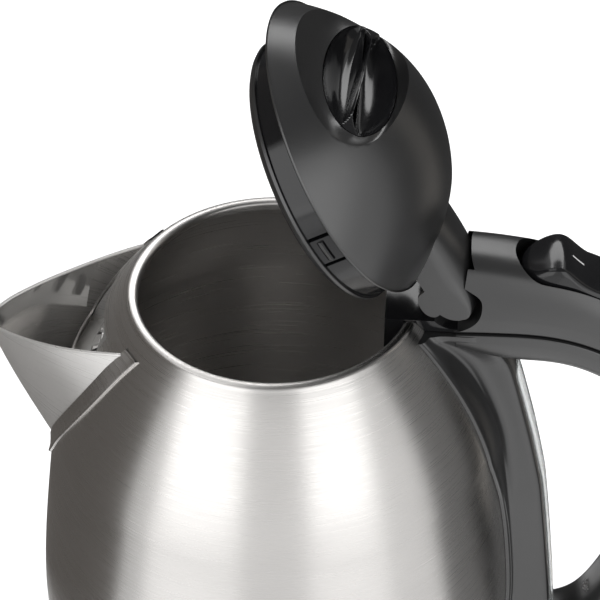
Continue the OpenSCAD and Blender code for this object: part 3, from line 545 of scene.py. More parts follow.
def build_jug_wall():
    """The steel wall: a lathed sheet with its rolled rim and the window behind the spout."""
    jug = sizes("jug")
    r, top, band = jug.mouth_r, RIM_Z, jug.rim_band
    rim = [(r, top - jug.rim_depth), (r, top - 2.4 * MM), (r, top - 1.1 * MM)]
    rim += [(r + 0.25 * MM, top - 0.45 * MM), (r + 0.9 * MM, top - 0.05 * MM), (r + 0.5 * band, top)]
    rim += [(r + band - 1.1 * MM, top - 0.08 * MM), (r + band - 0.3 * MM, top - 0.45 * MM)]
    profile = np.vstack([rim, wall_profile()])
    turn = np.linspace(0, 2 * math.pi, AROUND, endpoint=False)
    points = [
        (radius * math.cos(a), radius * math.sin(a), z) for radius, z in profile for a in turn
    ]
    middle = 0.5 * (profile[:-1, 1] + profile[1:, 1])

    def keep(i, j):
        a = turn[j] + math.pi / AROUND
        in_window = top - WINDOW_DROPS[1] < middle[i] < top - WINDOW_DROPS[0]
        behind_spout = abs(a - math.pi) < jug.window_half_angle
        return i < len(rim) or not (in_window and behind_spout)

    faces = grid_faces(len(profile), AROUND, True, keep)
    wall = mesh_piece("jug_wall", points, faces, "jug", "shell_steel", ["body_shell"])
    wall.data.flip_normals()
    sheet_metal(wall, jug.sheet, "inside_steel")


# ---- spout

# Upper edge of the spout: X off the axis and Z off the rim, in millimetres.
SPOUT_EDGE = [(-96.0, -19.6), (-93.0, -18.9), (-87.0, -17.0), (-66.0, -12.5), (-50.0, -8.6), (-40.0, -6.5)]
# Section of the flange: share of its width, and lift off the jug in millimetres.
FLANGE_SECTION = [
    (-0.02, 0.02), (0.0, 0.9), (0.12, 0.78), (0.3, 0.68), (0.55, 0.62), (0.8, 0.66),
    (0.9, 0.95), (0.96, 1.0), (1.02, 0.8), (1.05, 0.02),
]


def spout_share(z):
    """Place of a height on the spout: 0 at the foot of the fold, 1 at the top of the root."""
    spout = sizes("spout")
    low, high = RIM_Z - spout.keel_drop, RIM_Z - spout.root_drop
    return (z - low) / (high - low)


def spout_root_half(z):
    """Half width of the spout where it leaves the jug, at a height."""
    share = clamp(spout_share(z) * 1.18)
    return float(sizes("spout").half_w * np.sin(0.5 * math.pi * share) ** 0.8)


def spout_keel_x(z):
    """Place of the fold at a height."""
    spout = sizes("spout")
    low, top = RIM_Z - spout.keel_drop, RIM_Z - spout.tip_drop + 2 * MM
    share = (z - low) / (top - low)
    bow = 1.6 * MM * math.sin(math.pi * clamp(share))
    return -jug_r(low) + share * (-spout.reach - 1.5 * MM + jug_r(low)) - bow


def spout_slice(z, t):
    """Point of one side at a height: t from 0 on the jug to 1 on the fold."""
    share = clamp(spout_share(z))
    h = max(spout_root_half(z), 0.05 * MM)
    r = jug_r(z) - 0.3 * MM
    root = np.array((-math.sqrt(r * r - h * h), h))
    tip = np.array((spout_keel_x(z), 0))
    crease = np.array((tip[0] + 0.6 * MM, (1.6 + 6.2 * share**1.3) * MM))
    bulge = root + 0.45 * (crease - root) + np.array((-0.4, 1.6 * share)) * MM
    return bezier_at((root, bulge, crease, tip), t)


def spout_edge_z(x):
    """Height of the spout's upper edge over a place between the root and the tip."""
    return RIM_Z + MM * float(np.interp(x / MM, *np.array(SPOUT_EDGE).T))


def build_spout():
    """The folded sheet: two bowed panels that meet in the fold, closed by a rolled lip."""
    low = RIM_Z - sizes("spout").keel_drop
    rows, levels = [], 72
    for t in 1 - (1 - np.linspace(0, 1, 40)) ** 1.5:
        top = RIM_Z - 10 * MM
        for _ in range(12):
            top = spout_edge_z(spout_slice(top, t)[0])
        heights = low + (top - low) * np.linspace(0, 1, levels)
        rows.append([(*spout_slice(z, t), z) for z in heights])
    rows += [[(x, -y, z) for x, y, z in row] for row in rows[-2::-1]]
    points, faces = [p for row in rows for p in row], grid_faces(len(rows), levels)
    sheet = mesh_piece("spout_sheet", points, faces, "jug", "spout_steel", ["spout"])
    if outward_is_inside(sheet):
        sheet.data.flip_normals()
    sheet_metal(sheet, sizes("spout").sheet, "spout_inside")
    build_spout_lip(np.array([row[-1] for row in rows]))


def outward_is_inside(sheet):
    """True where the sheet's faces look toward the jug's plane of symmetry."""
    face = sheet.data.polygons[len(sheet.data.polygons) // 4]
    return face.normal.y * face.center.y < 0


def build_spout_lip(edge):
    """The thin rounded bead along the spout's upper edge."""
    ahead, radius = along(edge), 0.62 * MM
    side = np.cross(ahead, (0, 0, 1.0))
    side /= np.linalg.norm(side, axis=1)[:, None]
    rings = []
    for p, s, u in zip(edge, side, np.cross(side, ahead)):
        inward = p - 0.45 * MM * s * (1 if np.dot(s[:2], p[:2]) > 0 else -1)
        rings.append([inward + radius * (math.cos(a) * s + math.sin(a) * u) for a in turns(10)])
    mesh_piece("spout_lip", *closed_solid(rings), "jug", "spout_steel")


def build_spout_flange():
    """The welded flange: a strip on the jug's skin that follows the spout's root."""
    spout = sizes("spout")
    low, high = RIM_Z - spout.keel_drop, RIM_Z - spout.root_drop + 1.5 * MM
    heights = high + (low - high) * np.sin(np.linspace(0, 0.5 * math.pi, 60))
    root = [(spout_root_half(z), z) for z in heights]
    root = np.array(root + [(-s, z) for s, z in root[-2::-1]])
    points = []
    for (s, z), (ds, dz) in zip(root, along(root)):
        width = spout.flange_w * (1 + 0.15 * smooth_step((z - low) / (high - low)))
        for share, lift in FLANGE_SECTION:
            z2 = min(z + ds * share * width, RIM_Z - 5.2 * MM)
            r = jug_r(z2)
            a = math.pi - (s - dz * share * width) / r
            r += lift * MM
            points.append((r * math.cos(a), r * math.sin(a), z2))
    faces = grid_faces(len(root), len(FLANGE_SECTION))
    crease_shading(mesh_piece("spout_flange", points, faces, "jug", "shell_steel"), 50)


# ---- handle

# Half widths in millimetres at the handle's eleven stations, for a handle of FULL_HALF_W.
HALF_WIDTHS = [14.3, 14.5, 14.5, 14.5, 14.2, 13.8, 13.4, 13.0, 12.4, 11.6, 11.0]
FULL_HALF_W = 14.5
SEAM_END = 10.0
# Outlines of the pocket for the arm, in millimetres off the lid's hinge.
POCKET_HOLLOW = [(-2, -9.6), (2.4, -7.8), (5.6, -5.2), (7.5, -1.6), (7.9, 2.4), (6.6, 5.4), (2.1, 8.2)]
POCKET_LIP = [(-14, 7.8), (2.1, 7.8), (2.9, 14), (2.6, 25), (-14, 25)]
POCKET_SWING = [(-14, 7), (7, 7), (5.6, 12), (3.1, 17), (-14, 17)]
SWITCH_TILT = math.radians(14)
RECESS_HALF = (22.4 * MM, 10.7 * MM)
ROCKER_HALF = (17.9 * MM, 9.9 * MM)
GAUGE_ENDS = (65 * MM, 181 * MM)
GAUGE_PLAY = 0.25 * MM


def shift(points):
    """Handle stations in metres, from millimetres off the axis and below the rim."""
    return [(x * MM, RIM_Z + z * MM) for x, z in points]


def handle_paths():
    """Stations of the seam and of the outer and inner backs of the handle."""
    g = sizes("handle").grip_x / MM
    seam = [(57, -3.6), (72, -2.9), (88, -3.6), (104, -8.5), (g - 17, -20), (g - 6, -42)]
    seam += [(g - 4, -70), (g - 7, -100), (g - 16, -127), (106, -147), (91.5, -153)]
    outer = [(57, 22.2), (71, 20.9), (88, 18.1), (105, 12.2), (g - 11, -4), (g + 3, -30)]
    outer += [(g + 7, -66), (g + 2, -101), (g - 9, -132), (108.5, -158.5), (91.5, -166)]
    inner = [(57, -12), (73, -17), (88, -17.9), (101, -21.5), (g - 24, -31), (g - 17, -50)]
    inner += [(g - 15, -73), (g - 17, -102), (g - 24.5, -126), (103.5, -139.5), (91.5, -143.5)]
    return shift(seam), shift(outer), shift(inner)


def handle_half_w(u):
    """Half width of the handle along its stations."""
    width = np.interp(u, range(len(HALF_WIDTHS)), HALF_WIDTHS)
    return float(width * sizes("handle").half_w / FULL_HALF_W)


def shell_section(side, w, h):
    """Half of a shell's section as (across, out) pairs, from the seam to the middle."""
    if side > 0:
        start = [(w - 1.4 * MM, 0.05 * MM), (w - 1.3 * MM, 0.9 * MM), (w - 0.5 * MM, 1.15 * MM)]
        low = 1.5 * MM
    else:
        gap = 0.25 * MM
        start = [(w - 1.6 * MM, gap), (w - 0.5 * MM, gap), (w - 0.15 * MM, gap + 0.12 * MM)]
        low = gap + 0.45 * MM
    turn = np.linspace(0.035, 0.5, 36) * math.pi
    across = w * np.cos(turn) ** 0.62
    out = low + (h - low) * np.sin(turn) ** 0.74
    return start + list(zip(across, out))


def handle_rings(side, first, last):
    """Rings of one shell of the handle, between two of its stations."""
    seam, outer, inner = handle_paths()
    stations = np.linspace(first, last, 110)
    rings = []
    for u, s, o in zip(stations, spline(seam, stations), spline(outer if side > 0 else inner, stations)):
        h = np.linalg.norm(o - s)
        d = (o - s) / h
        section = mirrored(shell_section(side, handle_half_w(u), h))
        rings.append([(s[0] + d[0] * b, a, s[1] + d[1] * b) for a, b in section])
    return rings


def prism(outline, half_w):
    """Rings of a prism along Y with an outline in X and Z."""
    return [[(x, y, z) for x, z in outline] for y in (-half_w, half_w)]


def at_hinge(points):
    """Places in X and Z, from millimetres off the lid's hinge."""
    x, _, z = HINGE["pos_m"]
    return [(x + a * MM, z + b * MM) for a, b in points]


def pocket_cutters():
    """The pocket in the handle's front: a round hollow for the hinge barrel under a lip for the arm."""
    low, high = at_hinge([(-14, -9.6), (-14, 8.2)])
    hollow = whole_spline(at_hinge(POCKET_HOLLOW), 40)
    outlines = (([low, *hollow, high], 20), (at_hinge(POCKET_LIP), 21), (at_hinge(POCKET_SWING), 9.4))
    return [closed_cutter(prism(outline, half_w * MM)) for outline, half_w in outlines]


def switch_place():
    """Frame of the switch: origin at its pivot, X along the handle, Z out of it."""
    return Matrix.Translation(Vector(ROCK["pos_m"])) @ Matrix.Rotation(SWITCH_TILT, 4, "Y")


def recess_outline():
    """Plan of the switch recess: straight sides with a full round at each end."""
    half_l, half_w = RECESS_HALF
    turn = np.linspace(-0.5 * math.pi, 0.5 * math.pi, 25)
    straight = half_l - half_w
    right = [(straight + half_w * max(0, math.cos(a)) ** 0.9, half_w * math.sin(a)) for a in turn]
    return right + [(1.4 * MM - x, -y) for x, y in right]


def switch_recess_cutter():
    """The dished recess under the switch."""
    place, outline = switch_place(), recess_outline()
    levels = [(-4.2, 0.8), (-3.0, 0.93), (-1.2, 0.985), (1.5, 1.0), (30, 1.0)]
    return closed_cutter([[place @ Vector((x * s, y * s, z * MM)) for x, y in outline] for z, s in levels])


def build_handle():
    """Both shells of the handle, with the arm's pocket and the switch recess."""
    upper = swept_piece(
        "handle_top", handle_rings(1, 0, SEAM_END - 1.52), "jug", "black_matte", ["handle_upper"]
    )
    cut(upper, [*pocket_cutters(), switch_recess_cutter()])
    lower = swept_piece(
        "handle_under", handle_rings(-1, 0.05, SEAM_END), "jug", "black_matte", ["handle_lower"]
    )
    cut(lower, pocket_cutters())
    for piece in (upper, lower):
        crease_shading(piece, 38)
        round_edges(piece, 0.35 * MM, 50)
    build_spine()


# Height off the rim, then the crest's distance from the axis or the skirt's half width, in millimetres.
CREST = [(-4, 66), (-10, 68.5), (-17, 75.6), (-30.5, 79.8), (-51.6, 85.4), (-73.6, 90.3)]
CREST += [(-96.6, 93.3), (-123.7, 96.4), (-140, 98), (-166, 98)]
SKIRT = [(-4, 18.6), (-13, 20), (-26, 20.8), (-38, 21.2), (-52, 20.5), (-62, 17), (-77, 12.2)]
SKIRT += [(-92, 10.2), (-166, 10.2)]


def crest_x(z):
    """Place of the spine's crest at a height."""
    return float(soft_lookup(CREST, (z - RIM_Z) / MM, 7)) * MM


def skirt_half(z):
    """Half width of the spine's skirt at a height."""
    return float(soft_lookup(SKIRT, (z - RIM_Z) / MM, 7)) * MM


def spine_ring(z):
    """Closed section of the spine at a height: crest, valley and skirt on the jug's skin."""
    crest_w = sizes("handle").crest_half_w
    r = jug_r(z) + 0.12 * MM
    c, s = crest_x(z), skirt_half(z)
    near_grip = clamp((z - RIM_Z + 24 * MM) / (18 * MM)) ** 2
    flat = crest_w + near_grip * (13.7 * MM - crest_w)
    w = flat + 0.6 * MM

    def skin(y):
        return math.sqrt(r * r - y * y)

    vale_y = w + 0.3 * (s - w)
    vale_x, edge, rise = skin(vale_y), skin(s), c - skin(0)
    path = [
        (c, 0), (c - 0.25 * MM, 0.45 * flat), (c - 1.1 * MM, 0.85 * flat), (c - 2.6 * MM, w),
        (vale_x + rise * 0.44, w + 0.2 * MM), (vale_x + rise * 0.24, w + 0.6 * (vale_y - w)),
        (vale_x + 2.3 * MM, max(vale_y, w + 0.4 * MM)),
        (vale_x + 0.6 * (edge - vale_x) + 1.9 * MM, vale_y + 0.6 * (s - vale_y)),
        (edge + 1.5 * MM, s - 0.5 * MM),
    ]
    side = [tuple(p) for p in whole_spline(path, 41)]
    side += [(edge + 1.2 * MM, s - 0.12 * MM), (edge + 0.7 * MM, s), (edge, s)]
    side += [(skin(s * k), s * k) for k in (0.8, 0.5, 0.2, 0)]
    return [(x, y, z) for x, y in side] + [(x, -y, z) for x, y in side[-2:0:-1]]


def build_spine():
    """The spine down the jug's back, with a groove for the gauge."""
    foot = FOOT_Z + 1.5 * MM
    levels = foot + (RIM_Z - 4 * MM - foot) * (1 - (1 - np.linspace(0, 1, 130)) ** 1.3)
    spine = swept_piece("handle_spine", [spine_ring(z) for z in levels], "jug", "black_matte")
    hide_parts("handle_lower")
    half_w = sizes("handle").gauge_half_w + GAUGE_PLAY
    cut(spine, [closed_cutter(gauge_sections(half_w, 8 * MM, 5.6 * MM, GAUGE_PLAY))])
    crease_shading(spine, 35)


def gauge_sections(half_w, out, depth, grow=0.0):
    """Sections of the gauge strip, rounded off at both ends."""
    low, high = GAUGE_ENDS[0] - grow, GAUGE_ENDS[1] + grow
    ends = 1 - np.cos(np.linspace(0, 0.5 * math.pi, 14))
    levels = [low + half_w * e for e in ends] + list(np.linspace(low + half_w, high - half_w, 60)[1:-1])
    levels += [high - half_w * e for e in ends[::-1]]
    rings = []
    for z in levels:
        e = min(z - low, high - z) / half_w
        w = half_w * (1 if e >= 1 else math.sqrt(max(0.006, 1 - (1 - e) ** 2)))
        c = crest_x(z)
        turn = np.linspace(0.06, 0.5, 12) * math.pi
        bow = [(c + out - (1 - math.sin(a)) * 2.0 * MM, w * math.cos(a) ** 0.7) for a in turn]
        half = [(c - depth, w), *bow]
        rings.append([(x, y, z) for x, y in half] + [(x, -y, z) for x, y in half[-2::-1]])
    return rings


def build_gauge():
    """The clear strip of the water gauge, bowed across its width."""
    rings = gauge_sections(sizes("handle").gauge_half_w, 0.5 * MM, 4.4 * MM)
    swept_piece("gauge_strip", rings, "jug", "clear_gauge", ["gauge_window"], 45)


# ---- switch


def rocker_top(u):
    """Height of the rocker's top over its pivot, along the handle."""
    u = u / MM
    hump = 9.3 + 4.2 * math.exp(-(((u + 7.5) / 6.5) ** 2)) - 1.3 * math.exp(-(((u - 8) / 7) ** 2))
    return (hump - 0.006 * u * u) * MM


def build_rocker():
    """The rocker: a rounded bar with a raised front end and a hollow for the thumb."""
    place = switch_place()
    half_l, half_w = ROCKER_HALF
    rings = []
    for share in np.linspace(-1, 1, 72):
        u = half_l * math.sin(share * 0.5 * math.pi)
        end = math.sqrt(max(0.0025, 1 - abs(u / half_l) ** 5))
        w = half_w * end
        top = rocker_top(u) - 2.6 * MM * (1 - end)
        low = -2.2 * MM + 4.6 * MM * abs(u / half_l) ** 2.4
        half = [(0.55 * w, low), (0.93 * w, low + 1.2 * MM), (w, low + 3 * MM)]
        for a in np.linspace(0.0, 0.5, 14) * math.pi:
            across = w * (0.80 + 0.20 * math.cos(a)) if a < 1.5 else 0.80 * w
            half.append((across, top - 2.9 * MM + 2.4 * MM * math.sin(a)))
        half += [(0.6 * w, top - 0.22 * MM), (0.35 * w, top - 0.06 * MM), (0, top)]
        rings.append([tuple(place @ Vector((u, y, z))) for y, z in mirrored(half)])
    swept_piece("switch_rocker", rings, "rocker", "black_gloss", ["power_switch"], 40)
    build_tick(place)


def build_tick(place):
    """The printed stroke on the rocker."""
    half = 0.32 * MM
    points = []
    for u in np.linspace(-3.6 * MM, 0.9 * MM, 8):
        points += [place @ Vector((u, y, rocker_top(u) + 0.04 * MM)) for y in (-half, half)]
    faces = grid_faces(8, 2)
    mesh_piece("switch_mark", points, faces, "rocker", "black_gloss", finish="white_print")


# ---- lid


def opened(rings):
    """Rings of the closed lid, turned to the lid as it stands at rest."""
    hinge = Matrix.Translation(Vector(HINGE["pos_m"]))
    turn = hinge @ Matrix.Rotation(sizes("lid").open_angle, 4, "Y") @ hinge.inverted()
    return [[tuple(turn @ Vector(p)) for p in ring] for ring in rings]


SEAT_Z = RIM_Z + 0.4 * MM
ARM_FRONT = 30 * MM
ARM_HALF_W = 14.0 * MM
# Lines of the arm's side view, in millimetres off the lid's hinge.
ARM_MIDDLE = [
    (4.1, 1.4), (3.4, 4.8), (0.6, 7.4), (-4, 9.0), (-9, 9.8), (-14, 10.2), (-21.5, 10.3), (-28.5, 10.0),
]
ARM_FLANK = [
    (4.1, 1.4), (3.2, 2.9), (0.6, 3.3), (-4, 2.4), (-9, 1.5), (-14, 1.4), (-21.5, 1.9), (-28.5, 2.4),
]
ARM_EDGE = [
    (-11.3, -5.4), (-10.2, -7.8), (-8.0, -8.9), (-5.2, -9.2), (-2.9, -8.8), (-1.3, -7.7), (-0.8, -6.4),
    (-1.1, -5.1),
]
ARM_BARREL = [(-1.1, -5.1), (0.8, -4.1), (2.4, -2.8), (3.6, -1.0)]
LUG_Y, LUG_HALF_W, LUG_R = 6.0 * MM, 2.4 * MM, 7.4 * MM
GRIP = {"x": -23.9 * MM, "z": RIM_Z + 16.3 * MM, "tilt": 40, "axes": (11.4 * MM, 27.0 * MM)}
SCOOP = {"x": -29.0 * MM, "z": RIM_Z + 16.1 * MM, "tilt": 53, "axes": (17.3 * MM, 30.2 * MM)}


def lid_spot(spot):
    """Frame of the scoop or the grip: its centre, Z out of the lid."""
    lean = Matrix.Rotation(-math.radians(spot["tilt"]), 4, "Y")
    return Matrix.Translation((spot["x"], 0, spot["z"])) @ lean


def dome_height(share, height):
    """Height of the dome over its edge."""
    return height * max(0.0, 1 - share**2.2) ** 0.95


def dome_reach(radius, turn):
    """Reach of the cover's edge from the dome's centre, longer toward the arm."""
    return radius + 3.0 * MM * max(0, (abs(turn) - 125) / 55) ** 1.5


def dome_rows(radius, height, around=216, rings=84):
    """Rings of the cover from its edge to its crown."""
    lid = sizes("lid")
    rows = []
    for share in np.sin(np.linspace(0.5 * math.pi, 0.02, rings)):
        row = []
        for k in range(around):
            turn = 180 - 360 * k / around
            reach = dome_reach(radius, turn)
            x = -lid.dome_ahead - reach * share * math.cos(math.radians(turn))
            y = reach * share * math.sin(math.radians(turn))
            row.append((x, y, SEAT_Z + dome_height(share, height)))
        rows.append(row)
    return rows


def scoop_rim(angle, grow):
    """The point of the scoop's rim on the dome, at an angle round the scoop."""
    lid = sizes("lid")
    place = lid_spot(SCOOP)
    a, b = (axis + grow for axis in SCOOP["axes"])
    low, high = -14 * MM, 14 * MM
    for _ in range(28):
        middle = 0.5 * (low + high)
        x, y, z = place @ Vector((a * math.cos(angle), b * math.sin(angle), middle))
        share = min(1.0, math.hypot(x + lid.dome_ahead, y) / lid.dome_r)
        if z > SEAT_Z + dome_height(share, lid.dome_h):
            high = middle
        else:
            low = middle
    return place @ Vector((a * math.cos(angle), b * math.sin(angle), high))


def scoop_cutter(grow=0.0, floor=-10 * MM, around=180):
    """The scoop: a dish from its rim on the dome to the grip's edge, and the grip's bore under it."""
    place = lid_spot(GRIP)
    a, b = (axis + 0.25 * MM + grow for axis in GRIP["axes"])
    out = place.to_3x3() @ Vector((0, 0, 1))
    inner = [place @ Vector((a * math.cos(t), b * math.sin(t), -grow)) for t in turns(around)]
    outer = [scoop_rim(t, grow) - out * grow for t in turns(around)]
    rows = [[p + out * (floor + grow) for p in inner], inner]
    for share in np.linspace(0, 1, 15)[1:]:
        row = []
        for t, low, high in zip(turns(around), inner, outer):
            sag = 0.9 * MM * math.sin(math.pi * share) * (0.25 + 0.75 * max(0, -math.cos(t)))
            row.append(low.lerp(high, share) - out * sag)
        rows.append(row)
    rows.append([p + out * 16 * MM for p in outer])
    return lid_cutter(rows)


def lid_cutter(rings):
    """A cutter given in the closed lid's place."""
    return closed_cutter(opened(rings))


def arm_gap_ring(z):
    """Plan of the gap that the arm stands in."""
    w, front = ARM_HALF_W + 0.2 * MM, ARM_FRONT
    return [(front, -w, z), (front + 60 * MM, -w, z), (front + 60 * MM, w, z), (front, w, z)]


def build_lid():
    """The domed cover with its scoop, the bore for the grip and the gap for the arm."""
    lid = sizes("lid")
    edge, *dome = dome_rows(lid.dome_r, lid.dome_h)
    ahead = lid.dome_ahead
    rows = [[(-ahead + (x + ahead) * 0.992, y * 0.992, SEAT_Z) for x, y, z in edge]]
    rows.append([(x, y, SEAT_Z + 0.35 * MM) for x, y, z in edge])
    rows.append([(x, y, z + 0.9 * MM) for x, y, z in edge])
    for i, row in enumerate(dome):
        rows.append([(x, y, z + (1 - min(1, i / 6)) * 0.5 * MM) for x, y, z in row])
    cover = swept_piece("lid_dome", opened(rows), "lid", "black_matte", ["lid_cover"])
    inner = dome_rows(lid.dome_r - lid.wall, lid.dome_h - lid.wall, 108, 52)
    hollow = lid_cutter([[(x, y, SEAT_Z - 2 * MM) for x, y, z in inner[0]], *inner])
    cut(hollow, [scoop_cutter(lid.wall, -9 * MM, 90)])
    gap = lid_cutter([arm_gap_ring(RIM_Z - 5 * MM), arm_gap_ring(RIM_Z + 50 * MM)])
    cut(cover, [scoop_cutter(), hollow, gap])
    crease_shading(cover, 30)


def grip_height(u, v):
    """Top of the grip over its frame: two hollows and the thin fin between them."""
    a, b = GRIP["axes"]
    along = min(1.0, abs(v) / b)
    rim = math.sqrt(max(0.0, 1 - along**2)) * a
    share = min(1.0, abs(u) / max(rim, 0.2 * MM))
    depth = 6.2 * MM * (1 - along**2.4) ** 0.7
    hollow = math.sin(math.pi * share**0.62) ** 0.6 if share < 1 else 0.0
    fin_w = (0.12 + 3.2 * max(0, (along - 0.7) / 0.3) ** 1.8) * MM
    fin = 1 - float(smooth_step((abs(u - 0.09 * v) - fin_w) / (0.9 * MM)))
    return -depth * hollow * (1 - fin) + 3.6 * MM * fin * (1 - along**2) ** 0.9


def grip_oval(share, height=None):
    """An oval of the grip at a share of its size: at a height over its frame, or on its top."""
    place = lid_spot(GRIP)
    a, b = GRIP["axes"]
    ring = []
    for t in turns(200):
        u, v = a * share * math.cos(t), b * share * math.sin(t)
        ring.append(tuple(place @ Vector((u, v, grip_height(u, v) if height is None else height))))
    return ring


def build_grip():
    """The polished grip let into the lid, as a fine height field with its own wall."""
    top = [grip_oval(share) for share in np.linspace(1, 0.004, 84) ** 0.9]
    rings = [grip_oval(1, -7 * MM), grip_oval(1, -0.3 * MM), *top]
    swept_piece("lid_handle", opened(rings), "lid", "black_gloss", ["lid_grip"], 48)


def arm_outline(full):
    """Side view of the arm on the closed lid: its lower edge and stop, the barrel, then its back.
    full is 1 along the middle and 0 at the flanks, where the back is rounded down."""
    back = [(c + (a - c) * full, d + (b - d) * full) for (a, b), (c, d) in zip(ARM_MIDDLE, ARM_FLANK)]
    lower = whole_spline(at_hinge(ARM_EDGE), 28)
    barrel = whole_spline(at_hinge(ARM_BARREL), 12)
    start = [(ARM_FRONT - 1 * MM, RIM_Z + 1 * MM), (HINGE["pos_m"][0] - 11.4 * MM, RIM_Z + 1 * MM)]
    return start + [tuple(p) for p in (*lower, *barrel[1:], *whole_spline(at_hinge(back), 48))]


def arm_cutters():
    """Room for the bracket: the arm's hollow underside, and a slot for each lug."""
    x, _, z = HINGE["pos_m"]
    under = at_hinge([(-14, -14), (8, -14), (8, -5.2), (-14, -5.2)])
    cutters = [lid_cutter(prism(under, 12.75 * MM))]
    disc = [
        (x + LUG_R * math.cos(t), z + LUG_R * math.sin(t))
        for t in np.linspace(0, 2 * math.pi, 40, endpoint=False)
    ]
    low, high = RIM_Z - 5 * MM, RIM_Z + 3 * MM
    box = [(x - 12 * MM, low), (x + 8 * MM, low), (x + 8 * MM, high), (x - 12 * MM, high)]
    for middle in (-LUG_Y, LUG_Y):
        for outline in (disc, box):
            slot = [[(a, middle + y, b) for a, y, b in ring] for ring in prism(outline, LUG_HALF_W)]
            cutters.append(lid_cutter(slot))
    return cutters


def build_arm():
    """The arm at the lid's back, rounded along its sides, with slots for the bracket's lugs."""
    rows = []
    for share in np.sin(np.linspace(-0.5, 0.5, 49) * math.pi):
        full = max(0.0, 1 - abs(share) ** 2.5) ** 0.5
        rows.append([(x, ARM_HALF_W * share, z) for x, z in arm_outline(full)])
    arm = swept_piece("lid_back_arm", opened(rows), "lid", "black_matte", ["lid_arm"])
    cut(arm, arm_cutters())
    crease_shading(arm, 40)
    round_edges(arm, 0.4 * MM, 50)


# ---- finishes on the carried-over nodes


def slot_names(node):
    """Names of the record slots on a node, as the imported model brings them."""
    return [s.material.name.split(".")[0] for s in node.material_slots if s.material]


NODE_SLOTS = {name: slot_names(node) for name, node in NODES.items()}
ROUNDED = {
    "hinge_bracket": 0.5, "hinge_pin": 0.25, "lid_skirt": 0.25, "lid_plate": 0.3, "deck_cover": 0.6,
    "base_plate": 0.5, "jug_base": 0.5, "base_feet": 0.4, "jug_socket": 0.3, "base_connector": 0.3,
    "cord_bush": 0.3, "strainer": 0.12, "steam_switch": 0.2, "vessel_floor": 0.1, "control_unit": 0.3,
}


def dress_nodes():
    """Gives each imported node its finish, and a small round on the moulded ones."""
    for name, node in NODES.items():
        for place, slot in zip(node.material_slots, NODE_SLOTS[name]):
            place.material = FINISHES["black_gloss" if name == "lid_skirt" else slot]
        crease_shading(node, 32)
        if name in ROUNDED:
            round_edges(node, ROUNDED[name] * MM, 40)


# ---- stage


def aim(lamp, target, lean=0.0):
    """Turns a lamp's front toward a point, its top leaning to the left by so many degrees."""
    turn = (Vector(target) - lamp.location).to_track_quat("-Z", "Y")
    lamp.rotation_mode = "QUATERNION"
    lamp.rotation_quaternion = turn @ Quaternion((0, 0, 1), math.radians(lean))


CAMERA_TURN = math.radians(4.5)


def round_stage(turn, distance, height):
    """A place round the kettle: turn in degrees from the camera's side, to its right positive."""
    a = CAMERA_TURN + math.radians(turn)
    return Vector((distance * math.sin(a), -distance * math.cos(a), height))


def softbox(name, turn, distance, height, size, radiance, lean=0.0):
    """A rectangular lamp of an even brightness that looks at the jug."""
    data = bpy.data.lights.new(name, "AREA")
    data.shape = "RECTANGLE"
    data.size, data.size_y = size
    data.energy = radiance * math.pi * size[0] * size[1]
    lamp = add_object(name, data)
    lamp.location = round_stage(turn, distance, height)
    aim(lamp, (0, 0, 0.14), lean)


def bare(owner):
    """The material or the world, with an empty node tree."""
    owner.use_nodes = True
    owner.node_tree.nodes.clear()
    return owner


def ray_is(owner, first, *others):
    """1 for the named kinds of ray and 0 for the rest."""
    rays = add_node(owner, "ShaderNodeLightPath")
    found = rays.outputs[first]
    for kind in others:
        either = add_node(owner, "ShaderNodeMath", operation="MAXIMUM")
        link(owner, found, either.inputs[0])
        link(owner, rays.outputs[kind], either.inputs[1])
        found = either.outputs[0]
    return found


def plain_light(name, strength, tone):
    """A material of one even brightness."""
    material = bare(bpy.data.materials.new(name))
    glow = add_node(material, "ShaderNodeEmission", Color=(*tone, 1), Strength=strength)
    out = add_node(material, "ShaderNodeOutputMaterial")
    link(material, glow.outputs["Emission"], out.inputs["Surface"])
    return material


def card(name, first, last, strength, tone=(1, 1, 1), near=0.13, top=1.6, low=0.0):
    """A screen that only reflections see: a sector on the floor that goes on as a curved wall."""
    steps = max(4, int(abs(last - first) / 4))
    floor, far = 0.0015 + low, 1.35
    points = []
    for r, z in ((near, floor), (far, floor), (far, top)):
        points += [round_stage(a, r, z) for a in np.linspace(first, last, steps + 1)]
    mesh = new_mesh(name, points, grid_faces(3, steps + 1))
    mesh.materials.append(plain_light(name, strength, tone))
    screen = add_object(name, mesh)
    screen.visible_camera = False
    screen.visible_diffuse = False
    screen.visible_shadow = False
    screen.visible_transmission = False


def build_floor():
    """The pale floor: it shows white and keeps the kettle's shadow."""
    far, z = 12.0, -0.0002
    corners = [(-far, -far, z), (far, -far, z), (far, far, z), (-far, far, z)]
    mesh = new_mesh("floor", corners, [(0, 1, 2, 3)])
    material = bare(bpy.data.materials.new("floor_white"))
    matte = add_node(material, "ShaderNodeBsdfDiffuse", Color=(0.78, 0.78, 0.78, 1))
    glow = add_node(material, "ShaderNodeEmission")
    lift = add_node(material, "ShaderNodeMath", operation="MULTIPLY")
    lift.inputs[1].default_value = 0.62
    both = add_node(material, "ShaderNodeAddShader")
    out = add_node(material, "ShaderNodeOutputMaterial")
    link(material, ray_is(material, "Is Camera Ray", "Is Glossy Ray"), lift.inputs[0])
    link(material, lift.outputs[0], glow.inputs["Strength"])
    link(material, matte.outputs[0], both.inputs[0])
    link(material, glow.outputs[0], both.inputs[1])
    link(material, both.outputs[0], out.inputs["Surface"])
    mesh.materials.append(material)
    floor = add_object("floor", mesh)


